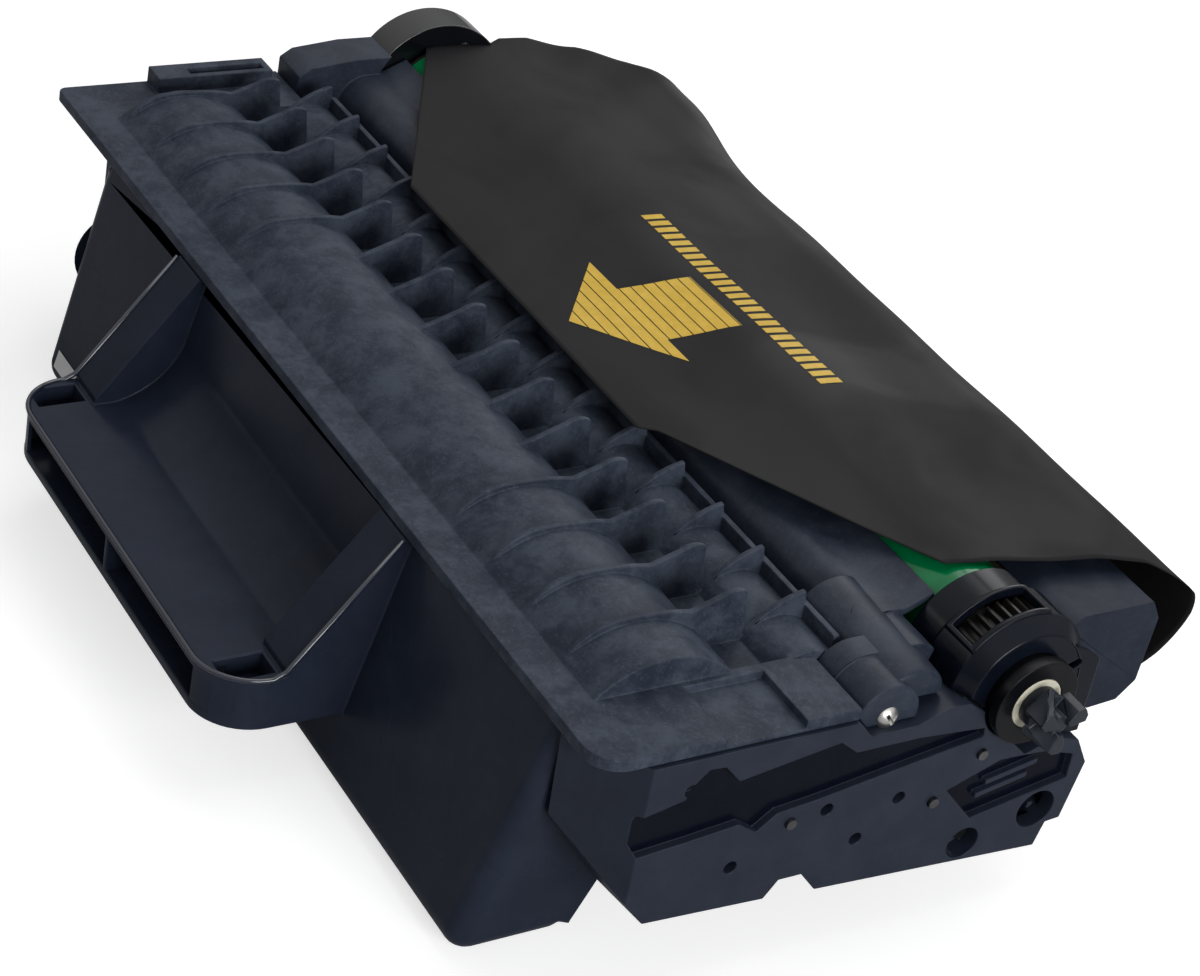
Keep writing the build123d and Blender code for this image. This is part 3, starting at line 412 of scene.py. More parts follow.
SOFT_EDGES: dict[str, float] = {
    "toner_hopper": 0.45,
    "top_cover": 0.32,
    "near_end_cover": 0.30,
    "far_end_cover": 0.35,
    "cleaner_frame": 0.35,
    "developer_cover": 0.40,
    "drum_end_bracket": 0.35,
    "far_bearing_cover": 0.40,
    "drum_bearing": 0.25,
    "coupling_ring": 0.25,
    "drive_coupling": 0.25,
    "fill_cap": 0.25,
}


# Mouldings with rounded edges


@dataclass(frozen=True)
class Zone:
    """A box in millimetres, and the way that the faces of interest in it look."""

    low: Place
    high: Place
    facing: Place

    def contains(self, point: Vector) -> bool:
        """Tells whether a point lies in the box.

        Args:
            point: The point in metres.

        Returns:
            True if it does.
        """
        return all(low * MM <= value <= high * MM for low, value, high in zip(self.low, point, self.high))

    def faces(self, face: bmesh.types.BMFace) -> bool:
        """Tells whether a face looks the zone's way.

        Args:
            face: The face.

        Returns:
            True if it does.
        """
        return face.normal.dot(Vector(self.facing)) > FACING_SHARE


@dataclass(frozen=True)
class RoundCorner(Zone):
    """A corner of a moulding that is rounded more widely than its other edges."""

    width: float

    def holds(self, edge: bmesh.types.BMEdge) -> bool:
        """Tells whether an edge belongs to the corner: one of its two faces looks the zone's way.

        Args:
            edge: The edge.

        Returns:
            True if it does.
        """
        if len(edge.link_faces) != 2 or not all(self.contains(vert.co) for vert in edge.verts):
            return False
        first, second = (self.faces(face) for face in edge.link_faces)
        return first != second and edge.is_convex


@dataclass(frozen=True)
class PolishAndShadeField(Zone):
    """Faces of a moulding that have a finish of their own, here a darker colour that paints in shade."""

    finish: str

    def holds(self, face: bmesh.types.BMFace) -> bool:
        """Tells whether a face belongs to the field.

        Args:
            face: The face.

        Returns:
            True if it does.
        """
        return self.contains(face.calc_center_median()) and self.faces(face)


# The near lid's recess faces, coloured dark as painted shade
POLISH_AND_SHADE_FIELDS: dict[str, PolishAndShadeField] = {
    "near_end_cover": PolishAndShadeField((148.7, 0.0, 20.0), (149.3, 140.0, 70.0), (1.0, 0.0, 0.0), "recess_polish_painted_shade"),
}

ROUND_CORNERS: dict[str, tuple[RoundCorner, ...]] = {
    "toner_hopper": (
        RoundCorner((127.0, -17.0, -0.1), (134.0, 14.2, 65.1), (1.0, 0.0, 0.0), 4.8),
        RoundCorner((-119.0, -17.0, -0.1), (-112.0, 14.2, 65.1), (-1.0, 0.0, 0.0), 4.8),
    ),
    "top_cover": (
        RoundCorner((149.5, -3.1, 64.5), (150.5, -2.5, 68.5), (1.0, 0.0, 0.0), 8.0),
        RoundCorner((-150.5, -3.1, 64.5), (-149.5, -2.5, 68.5), (-1.0, 0.0, 0.0), 2.5),
    ),
}

# The far lid ends behind the hopper's front wall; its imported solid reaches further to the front
CUT_BACK: dict[str, float] = {"far_end_cover": 14.0}
CUT_WALL = 1.5


def cut_back(form: bmesh.types.BMesh, front_y: float) -> None:
    """Cuts a hollow moulding off at a plane across Y and closes it with a wall.

    Args:
        form: The moulding's mesh.
        front_y: Where it ends, in millimetres.
    """
    geometry = [*form.verts, *form.edges, *form.faces]
    plane = Vector((0.0, front_y * MM, 0.0))
    cut = bmesh.ops.bisect_plane(
        form, geom=geometry, plane_co=plane, plane_no=(0.0, -1.0, 0.0), clear_outer=True,
    )
    rim = [item for item in cut["geom_cut"] if isinstance(item, bmesh.types.BMEdge)]
    bmesh.ops.triangle_fill(form, edges=rim, use_beauty=True)
    spots = [vert.co.copy() for vert in form.verts if abs(vert.co.y - plane.y) < SAME_PLACE]
    shifts = [Vector((0.0, shift, 0.0)) for shift in (HAIR, CUT_WALL * MM)]
    wall = [form.verts.new(spot + shift) for spot in spots for shift in shifts]
    hull = bmesh.ops.convex_hull(form, input=wall)
    loose = [item for item in hull["geom_interior"] if isinstance(item, bmesh.types.BMVert)]
    bmesh.ops.delete(form, geom=loose, context="VERTS")
    bmesh.ops.recalc_face_normals(form, faces=form.faces)


def is_sharp(edge: bmesh.types.BMEdge) -> bool:
    """Tells whether an edge joins two faces at a sharp angle.

    Args:
        edge: The edge.

    Returns:
        True if it does.
    """
    return len(edge.link_faces) == 2 and edge.calc_face_angle(0.0) > SHARP_ANGLE


def round_edges(form: bmesh.types.BMesh, edges: list[bmesh.types.BMEdge], width: float, segments: int) -> None:
    """Rounds edges of a moulding.

    Args:
        form: The moulding's mesh.
        edges: The edges.
        width: The width of the rounding in millimetres.
        segments: How many faces it gets.
    """
    bmesh.ops.bevel(form, geom=edges, offset=width * MM, offset_type="OFFSET", segments=segments, profile=0.5,
                    affect="EDGES", clamp_overlap=False)


def skin(form: bmesh.types.BMesh, rows: list[list[bmesh.types.BMVert]], rings: bool = False) -> None:
    """Spans smooth faces between rows of points.

    Args:
        form: The mesh to add to.
        rows: The rows, all with as many points.
        rings: Whether each row is a ring; the first and the last are then filled.
    """
    count = len(rows[0])
    for first, second in zip(rows, rows[1:]):
        for index in range(count if rings else count - 1):
            after = (index + 1) % count
            form.faces.new((first[index], first[after], second[after], second[index])).smooth = True
    if rings:
        form.faces.new(list(reversed(rows[0])))
        form.faces.new(rows[-1])


class Workshop:
    """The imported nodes, the materials and what every sub-assembly does with a finished mesh."""

    def __init__(self, frame: dict) -> None:
        """Keeps the frame and makes every material.
        """
        self.nodes: dict[str, bpy.types.Object] = frame["nodes"]
        self.slots = {entry["node"]: entry["material_slot"] for entry in frame["record"]["subparts"]}
        self.bodies = {
            node: body for body, nodes in frame["record"]["behaviour"]["bodies"].items() for node in nodes
        }
        groups = SharedGroups()
        self.materials = {name: finish.material(groups) for name, finish in FINISHES.items()}

    def piece(self, name: str, mesh: bpy.types.Mesh, finish: str, body: str, slot: str) -> bpy.types.Object:
        """Makes an object of a mesh that already lies in place.

        Args:
            name: The piece's name.
            mesh: Its mesh, in the frame.
            finish: The name of its finish.
            body: The body that it rides on.
            slot: The record's slot; not used.

        Returns:
            The new object.
        """
        obj = add_object(name, mesh)
        mesh.materials.clear()
        mesh.materials.append(self.materials[finish])
        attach(obj, body)
        LOG.info("%s: %d faces on %s", name, len(mesh.polygons), body)
        return obj

    def shape(self, name: str, form: bmesh.types.BMesh, finish: str, slot: str,
              closed: bool = False, crisp: bool = False) -> bpy.types.Object:
        """Makes a piece on the body of a shape that was just built, and frees the shape.

        Args:
            name: The piece's name.
            form: Its shape, in the frame.
            finish: The name of its finish.
            slot: The record's slot; not used.
            closed: Whether it is a closed solid, whose faces are turned outward.
            crisp: Whether its sharp edges are shaded sharp.

        Returns:
            The new object.
        """
        if closed:
            bmesh.ops.recalc_face_normals(form, faces=form.faces)
        mesh = bpy.data.meshes.new(name)
        form.to_mesh(mesh)
        form.free()
        if crisp:
            mesh.set_sharp_from_angle(angle=SHADE_ANGLE)
        return self.piece(name, mesh, finish, "body", slot)

    def dress_node(self, node: str) -> None:
        """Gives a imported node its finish.

        Args:
            node: The node's name.
        """
        obj = self.nodes[node]
        material = self.materials[NODE_FINISH[node]]
        for slot in obj.material_slots:
            slot.material = material
        if not obj.material_slots:
            obj.data.materials.append(material)

    def soften_node(self, node: str, width: float) -> bpy.types.Object:
        """Replaces a node by a copy of it with rounded edges, as a mould leaves them.

        Args:
            node: The node's name.
            width: The width of the rounding in millimetres.

        Returns:
            The piece that stands for the node.
        """
        mesh = bpy.data.meshes.new(f"{node}_moulded")
        form = bmesh.new()
        form.from_mesh(self.nodes[node].data)
        bmesh.ops.remove_doubles(form, verts=form.verts, dist=WELD)
        bmesh.ops.dissolve_limit(form, angle_limit=FLAT_ANGLE, verts=form.verts, edges=form.edges)
        if node in CUT_BACK:
            cut_back(form, CUT_BACK[node])
        for corner in ROUND_CORNERS.get(node, ()):
            chain = [edge for edge in form.edges if corner.holds(edge) and is_sharp(edge)]
            LOG.info("%s: %d edges in a round corner", node, len(chain))
            round_edges(form, chain, corner.width, 7)
        round_edges(form, [edge for edge in form.edges if is_sharp(edge)], width, 2)
        # Faces in the field take its finish: on the near lid this paints shade into the recess
        polished = POLISH_AND_SHADE_FIELDS.get(node)
        painted_shade_index = []
        for face in form.faces:
            face.smooth = True
            painted_shade_index.append(int(polished is not None and polished.holds(face)))
        form.to_mesh(mesh)
        form.free()
        mesh.set_sharp_from_angle(angle=SHADE_ANGLE)
        piece = self.piece(f"{node}_moulded", mesh, NODE_FINISH[node], self.bodies[node], self.slots[node])
        if polished is not None:
            mesh.materials.append(self.materials[polished.finish])
            mesh.polygons.foreach_set("material_index", painted_shade_index)
        flat = piece.modifiers.new("flat_faces", "WEIGHTED_NORMAL")
        flat.weight = 100
        flat.keep_sharp = True
        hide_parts(node)
        return piece


# Film over the drum


@dataclass(frozen=True)
class Wave:
    """A wave in the loose film: its height, and its lengths along x and the profile, in millimetres."""

    height: float
    across: float
    along: float
    phase: float = 0.0

    def at(self, x: float, length: float) -> float:
        """Finds how far the wave stands out.

        Args:
            x: The place along the cartridge in millimetres.
            length: The length along the profile in millimetres.

        Returns:
            The distance in millimetres.
        """
        return self.height * math.sin(x / self.across + length / self.along + self.phase)


@dataclass
class FilmCut:
    """The film as it is cut and as it lies: rows along its profile, each from a far to a near x."""

    profile: tuple[Point, ...] = (
        (61.2, 76.6), (70.0, 76.8), (84.0, 77.0), (97.0, 77.5), (108.0, 78.2), (120.0, 77.7), (134.0, 76.2),
        (148.0, 74.9), (157.0, 74.2), (163.0, 72.0), (166.0, 67.5), (166.4, 61.0), (164.8, 54.0), (161.5, 47.5),
        (158.5, 44.0),
    )
    flared: tuple[Point, ...] = (
        (61.2, 76.6), (70.0, 76.8), (84.0, 77.0), (97.0, 77.5), (108.0, 78.0), (120.0, 77.4), (134.0, 75.8),
        (148.0, 74.2), (157.0, 73.7), (164.5, 73.4), (170.5, 73.1), (175.0, 71.0), (176.0, 66.5), (174.0, 61.0),
        (171.5, 57.0),
    )
    flare_from: float = -40.0
    flare_to: float = -110.0
    far_edge: tuple[Point, ...] = (
        (0.0, -66.0), (41.5, -138.8), (43.5, -139.4), (62.0, -139.4), (68.0, -143.6), (78.0, -144.6),
        (92.0, -139.5), (103.0, -129.5), (111.0, -118.0), (116.0, -112.0), (128.0, -107.0), (136.0, -104.0),
    )
    near_edge: tuple[Point, ...] = (
        (0.0, 51.6), (4.5, 54.6), (40.6, 120.6), (48.0, 122.3), (67.0, 122.9), (84.0, 125.6), (95.0, 129.4),
        (101.0, 136.0), (105.0, 138.6), (112.0, 138.0), (126.0, 135.0), (136.0, 132.0),
    )
    rows: int = 96
    columns: int = 150
    thickness: float = 0.18
    waves: tuple[Wave, ...] = (Wave(0.40, 41.0, 60.0), Wave(0.22, 17.0, -23.0, 1.3))
    ripple: Wave = Wave(0.12, 7.3, 9.0)
    fold: Wave = Wave(0.45, 4.6, 4.6 / 0.9)
    fold_from: Point = (-85.0, 70.0)
    fold_run: Point = (55.0, 20.0)
    slack_length: float = 60.0
    taut_share: float = 0.3
    valley_depth: float = 1.1
    valley_at: Point = (60.0, 74.0)
    valley_slope: float = 0.10
    valley_width: float = 11.0
    valley_share: float = 0.6


def clamped(value: float) -> float:
    """Keeps a share between 0 and 1.

    Args:
        value: The share.

    Returns:
        The share, or the end that it passed.
    """
    return max(0.0, min(1.0, value))


def along(points: tuple[Point, ...], place: float) -> float:
    """Reads a piecewise straight line.

    Args:
        points: Pairs of place and value, in order.
        place: Where to read.

    Returns:
        The value there.
    """
    if place <= points[0][0]:
        return points[0][1]
    for (start, low), (end, high) in zip(points, points[1:]):
        if place <= end:
            return low + (high - low) * (place - start) / (end - start)
    return points[-1][1]


class ProtectiveFilm:
    """The loose film over the drum."""

    def __init__(self, shop: Workshop, cut: FilmCut) -> None:
        """Measures the film's profile.

        Args:
            shop: The workshop that makes the pieces.
            cut: The film's sizes.
        """
        self.shop = shop
        self.cut = cut
        self.path = self._smooth(cut.profile)
        self.flared = self._smooth(cut.flared)
        self.lengths = [0.0]
        for first, second in zip(self.path, self.path[1:]):
            self.lengths.append(self.lengths[-1] + math.dist(first, second))

    @staticmethod
    def _smooth(points: tuple[Point, ...], steps: int = 14) -> list[Point]:
        """Draws a smooth line through points.

        Args:
            points: The points that it passes.
            steps: How many pieces each run gets.

        Returns:
            The points of the smooth line.
        """
        padded = [points[0], *points, points[-1]]
        line: list[Point] = []
        for before, start, end, after in zip(padded, padded[1:], padded[2:], padded[3:]):
            for step in range(steps):
                t = step / steps
                line.append(tuple(
                    0.5 * (
                        2 * b + (c - a) * t
                        + (2 * a - 5 * b + 4 * c - d) * t ** 2
                        + (3 * b - a - 3 * c + d) * t ** 3
                    )
                    for a, b, c, d in zip(before, start, end, after)
                ))
        line.append(points[-1])
        return line

    def at(self, x: float, length: float, lift: float = 0.0) -> Vector:
        """Finds a point of the film.

        Args:
            x: The place along the cartridge in millimetres.
            length: The length along the profile from the front edge in millimetres.
            lift: How far the point lies outside the film in millimetres.

        Returns:
            The point in metres.
        """
        length = min(max(length, 0.0), self.lengths[-1])
        index = next(i for i, value in enumerate(self.lengths[1:]) if value >= length - 1e-9)
        run = self.lengths[index + 1] - self.lengths[index]
        part = (length - self.lengths[index]) / run
        share = clamped((self.cut.flare_from - x) / (self.cut.flare_from - self.cut.flare_to))
        share = share * share * (3.0 - 2.0 * share)
        (y0, z0), (y1, z1) = (
            tuple(a + (b - a) * share for a, b in zip(self.path[i], self.flared[i])) for i in (index, index + 1)
        )
        run = math.dist((y0, z0), (y1, z1))
        normal = Vector((0.0, -(z1 - z0) / run, (y1 - y0) / run))
        point = Vector((x, y0 + (y1 - y0) * part, z0 + (z1 - z0) * part))
        return (point + normal * (lift + self._billow(x, length))) * MM

    def _billow(self, x: float, length: float) -> float:
        """Finds how far the loose film stands off its mean line.

        Args:
            x: The place along the cartridge in millimetres.
            length: The length along the profile in millimetres.

        Returns:
            The distance outwards in millimetres.
        """
        cut = self.cut
        slack = min(1.0, length / cut.slack_length)
        waves = sum(wave.at(x, length) for wave in cut.waves)
        far_corner = clamped((cut.fold_from[0] - x) / cut.fold_run[0])
        low_part = clamped((length - cut.fold_from[1]) / cut.fold_run[1])
        folds = cut.fold.at(x, length) * far_corner * low_part
        off = (length - cut.valley_at[1] + cut.valley_slope * (x - cut.valley_at[0])) / cut.valley_width
        valley = cut.valley_depth * math.exp(-off ** 2) * clamped(x / cut.valley_at[0] + cut.valley_share)
        loose = cut.taut_share + (1.0 - cut.taut_share) * slack
        return waves * loose + cut.ripple.at(x, length) * slack + folds - valley

    def sheet(self) -> bpy.types.Object:
        """Builds the film itself.

        Returns:
            The film.
        """
        cut = self.cut
        corners = sorted({place for place, _ in (*cut.far_edge, *cut.near_edge)} | {self.lengths[-1]})
        step = self.lengths[-1] / cut.rows
        regular = {round(step * row, 4) for row in range(cut.rows)}
        places = sorted(regular | {corner for corner in corners if corner <= self.lengths[-1]})
        spans = [along(cut.near_edge, place) - along(cut.far_edge, place) for place in places]
        form = bmesh.new()
        grid = []
        for place, span in zip(places, spans):
            far = along(cut.far_edge, place)
            grid.append([
                form.verts.new(self.at(far + span * column / cut.columns, place))
                for column in range(cut.columns + 1)
            ])
        skin(form, grid)
        film = self.shop.shape("film_sheet", form, "film_plastic", "film")
        wall = film.modifiers.new("thickness", "SOLIDIFY")
        wall.thickness = cut.thickness * MM
        wall.offset = -1.0
        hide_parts("protective_film")
        return film


BARB_STEP = 1e-4


@dataclass
class PrintPlan:
    """The arrow and the row of bars on the film, as places along x and along the film's profile."""

    tip: Point = (5.4, 7.8)
    head_far: Point = (-19.3, 27.9)
    head_near: Point = (30.2, 27.6)
    shaft: Point = (-5.3, 19.8)
    tail: float = 49.4
    stripe_pitch: float = 3.45
    stripe_gap: float = 0.34
    bar_count: int = 25
    bar_from: float = -36.8
    bar_to: float = 49.6
    far_bar: Point = (53.2, 59.6)
    near_bar: Point = (54.4, 61.2)
    bar_share: float = 0.66
    lift: float = 0.09
    cell: float = 2.4

    @property
    def barb(self) -> float:
        """The place along the profile where the arrow's head ends and its shaft starts."""
        return (self.head_far[1] + self.head_near[1]) / 2


@dataclass(frozen=True)
class FilmPrint:
    """The yellow print: a striped arrow that points to the open side, and a row of plain bars."""

    film: ProtectiveFilm
    plan: PrintPlan

    def _span(self, place: float) -> Point:
        """Finds where the arrow starts and ends along x.

        Args:
            place: The place along the profile.

        Returns:
            The far and the near x.
        """
        plan = self.plan
        if place > plan.barb:
            return plan.shaft
        share = (place - plan.tip[1]) / (plan.barb - plan.tip[1])
        return tuple(plan.tip[0] + (side[0] - plan.tip[0]) * share for side in (plan.head_far, plan.head_near))

    def _band(self, form: bmesh.types.BMesh, start: float, end: float, first: Point, last: Point) -> None:
        """Adds one inked band that lies on the film.

        Args:
            form: The mesh to add to.
            start: Where the band starts along the profile.
            end: Where it ends.
            first: Its far and near x at the start.
            last: Its far and near x at the end.
        """
        columns = max(1, round(max(first[1] - first[0], last[1] - last[0]) / self.plan.cell))
        rows = max(1, round((end - start) / self.plan.cell))
        grid = []
        for row in range(rows + 1):
            part = row / rows
            far, near = (a + (b - a) * part for a, b in zip(first, last))
            grid.append([
                form.verts.new(self.film.at(far + (near - far) * column / columns, start + (end - start) * part,
                                            self.plan.lift))
                for column in range(columns + 1)
            ])
        skin(form, grid)

    def build(self) -> bpy.types.Object:
        """Builds the arrow and the bars as one piece.

        Returns:
            The print.
        """
        plan = self.plan
        form = bmesh.new()
        start = plan.tip[1]
        while start < plan.tail:
            end = min(start + plan.stripe_pitch - plan.stripe_gap, plan.tail)
            for low, high in ((start, min(end, plan.barb)), (max(start, plan.barb), end)):
                if high > low:
                    inner = BARB_STEP if low >= plan.barb else 0.0
                    self._band(form, low, high, self._span(low + inner), self._span(high))
            start += plan.stripe_pitch
        pitch = (plan.bar_to - plan.bar_from) / plan.bar_count
        for index in range(plan.bar_count):
            far = plan.bar_from + index * pitch
            across = (far, far + pitch * plan.bar_share)
            part = index / (plan.bar_count - 1)
            low, high = (a + (b - a) * part for a, b in zip(plan.far_bar, plan.near_bar))
            self._band(form, low, high, across, across)
        return self.film.shop.shape("film_print", form, "film_ink", "film")


# The handle's rim and pockets


@dataclass(frozen=True)
class GripPlan:
    """Sizes of the polished rim round the handle and of the webs under its pockets, in millimetres."""

    end_x: float = 63.9
    seat: Point = (-3.6, 64.6)
    foot: Point = (-28.0, 33.4)
    shelf_z: float = 31.9
    shelf_y: float = -31.0
    outer_y: float = -44.9
    corner: float = 14.0
    corner_steps: int = 12
    radius: float = 0.70
    sides: int = 10
    web: tuple[Point, ...] = ((53.4, -29.3), (61.6, -29.3), (61.6, -37.4), (57.4, -41.7), (53.4, -41.7))
    web_z: Point = (25.2, 26.2)
    shell_z: Point = (18.5, 31.5)
    shell_wall: float = 0.9
    shell_from: float = -4.0
    shell_to: float = 84.0


@dataclass(frozen=True)
class Grip:
    """What the handle shows besides its moulded form."""

    shop: Workshop
    plan: GripPlan

    def _rim_line(self) -> list[Vector]:
        """Draws the rim: down one gusset, round the handle and up the other gusset.

        Returns:
            The points of the line in metres.
        """
        plan = self.plan
        half = [(plan.end_x, *plan.seat), (plan.end_x, *plan.foot), (plan.end_x, plan.shelf_y, plan.shelf_z)]
        for step in range(1, plan.corner_steps + 1):
            turn = math.pi / 2 * step / plan.corner_steps
            x = plan.end_x - plan.corner + plan.corner * math.cos(turn)
            half.append((x, plan.outer_y + plan.corner - plan.corner * math.sin(turn), plan.shelf_z))
        line = [*half, *((-x, y, z) for x, y, z in reversed(half))]
        return [Vector(point) * MM for point in line]

    def rim(self) -> bpy.types.Object:
        """Builds the rounded rim that catches the light.

        Returns:
            The rim.
        """
        plan = self.plan
        line = self._rim_line()
        form = bmesh.new()
        rings = []
        for index, point in enumerate(line):
            ahead = (line[min(index + 1, len(line) - 1)] - line[max(index - 1, 0)]).normalized()
            side = ahead.cross(Vector((0.0, 0.0, 1.0))).normalized()
            above = side.cross(ahead)
            rings.append([
                form.verts.new(point + (side * math.cos(turn) + above * math.sin(turn)) * plan.radius * MM)
                for turn in (math.tau * step / plan.sides for step in range(plan.sides))
            ])
        skin(form, rings, rings=True)
        return self.shop.shape("grip_rim", form, "rim_polish", "hopper", closed=True)

    def webs(self) -> bpy.types.Object:
        """Builds the webs that close the pockets at the handle's ends from below.

        Returns:
            The webs.
        """
        plan = self.plan
        form = bmesh.new()
        for side in (-1, 1):
            rings = [[form.verts.new(Vector((side * x, y, z)) * MM) for x, y in plan.web] for z in plan.web_z]
            skin(form, rings, rings=True)
        return self.shop.shape("grip_webs", form, "hopper_plastic", "hopper", closed=True, crisp=True)

    def shells(self) -> bpy.types.Object:
        """Builds the rounded walls that close the handle's ends round its pockets.

        Returns:
            The walls.
        """
        plan = self.plan
        form = bmesh.new()
        centre_x, centre_y = plan.end_x - plan.corner, plan.outer_y + plan.corner
        steps = 2 * plan.corner_steps
        inner = plan.corner - plan.shell_wall
        low, high = plan.shell_z
        section = ((plan.corner, low), (plan.corner, high), (inner, high), (inner, low))
        for side in (-1, 1):
            rings = []
            for step in range(steps + 1):
                turn = math.radians(plan.shell_from + (plan.shell_to - plan.shell_from) * step / steps)
                rings.append([
                    form.verts.new(Vector((
                        side * (centre_x + radius * math.cos(turn)), centre_y - radius * math.sin(turn), z,
                    )) * MM)
                    for radius, z in section
                ])
            skin(form, rings, rings=True)
        return self.shop.shape("grip_shells", form, "hopper_plastic", "hopper", closed=True, crisp=True)


# The ridge of the boss's arm


@dataclass(frozen=True)
class RidgePlan:
    """Sizes of the half-round ridge from the drum's cover bar to its screw, in millimetres."""

    far_x: float = 112.0
    near_x: float = 146.6
    foot_z: float = 64.8
    far: Place = (70.4, 89.0, 72.5)
    near: Place = (69.4, 87.0, 71.9)
    round_length: float = 1.6
    round_steps: int = 4
    end_share: float = 0.80
    steps: int = 24


def arm_ridge(shop: Workshop, plan: RidgePlan) -> bpy.types.Object:
    """Builds the ridge, which narrows to a rounded end beside the screw.

    Args:
        shop: The workshop that makes the piece.
        plan: Its sizes.

    Returns:
        The ridge.
    """
    form = bmesh.new()
    stations = [(plan.far_x, plan.far, 1.0), (plan.near_x - plan.round_length, plan.near, 1.0)]
    for step in range(1, plan.round_steps + 1):
        turn = math.pi / 2 * step / plan.round_steps
        share = plan.end_share + (1.0 - plan.end_share) * math.cos(turn)
        stations.append((plan.near_x - plan.round_length * (1.0 - math.sin(turn)), plan.near, share))
    rings = []
    for x, (front, back, top), share in stations:
        middle, half = (front + back) / 2, (back - front) / 2 * share
        ring = []
        for step in range(plan.steps + 1):
            turn = math.pi * step / plan.steps
            ring.append(form.verts.new(Vector((
                x, middle - half * math.cos(turn), plan.foot_z + (top - plan.foot_z) * share * math.sin(turn),
            )) * MM))
        rings.append(ring)
    skin(form, rings, rings=True)
    return shop.shape("arm_ridge", form, "bar_plastic", "guide", closed=True, crisp=True)


# The blank label on the hopper


@dataclass(frozen=True)
class LabelPlan:
    """Where the blank paper label lies on the hopper's front wall, in millimetres."""

    far_x: float = -108.0
    near_x: float = -95.0
    low: Point = (-15.0, 6.6)
    high: Point = (-13.8, 11.6)
    lift: float = 0.12


def blank_label(shop: Workshop, plan: LabelPlan) -> bpy.types.Object:
    """Builds the label, which carries nothing.

    Args:
        shop: The workshop that makes the piece.
        plan: Its sizes.

    Returns:
        The label.
    """
    mesh = bpy.data.meshes.new("blank_label")
    (low_y, low_z), (high_y, high_z) = plan.low, plan.high
    corners = ((plan.far_x, low_y, low_z), (plan.near_x, low_y, low_z), (plan.near_x, high_y, high_z),
               (plan.far_x, high_y, high_z))
    mesh.from_pydata([Vector((x, y - plan.lift, z)) * MM for x, y, z in corners], [], [(0, 1, 2, 3)])
    return shop.piece("blank_label", mesh, "blank_label", "body", "hopper")


# Small fasteners


@dataclass(frozen=True)
class ScrewPlace:
    """Where a screw sits, in millimetres, and the way that its head faces."""

    place: Place
    axis: Place
    turn: float


@dataclass
class ScrewPlan:
    """The sizes of the pan-head screws in millimetres, and their places."""

    radius: float = 2.75
    dome_share: float = 1.25
    height: float = 1.5
    slot_length: float = 3.7
    slot_width: float = 0.85
    slot_depth: float = 1.1
    places: tuple[ScrewPlace, ...] = (ScrewPlace((148.5, 71.0, 62.5), (1.0, 0.0, 0.0), 0.6),)


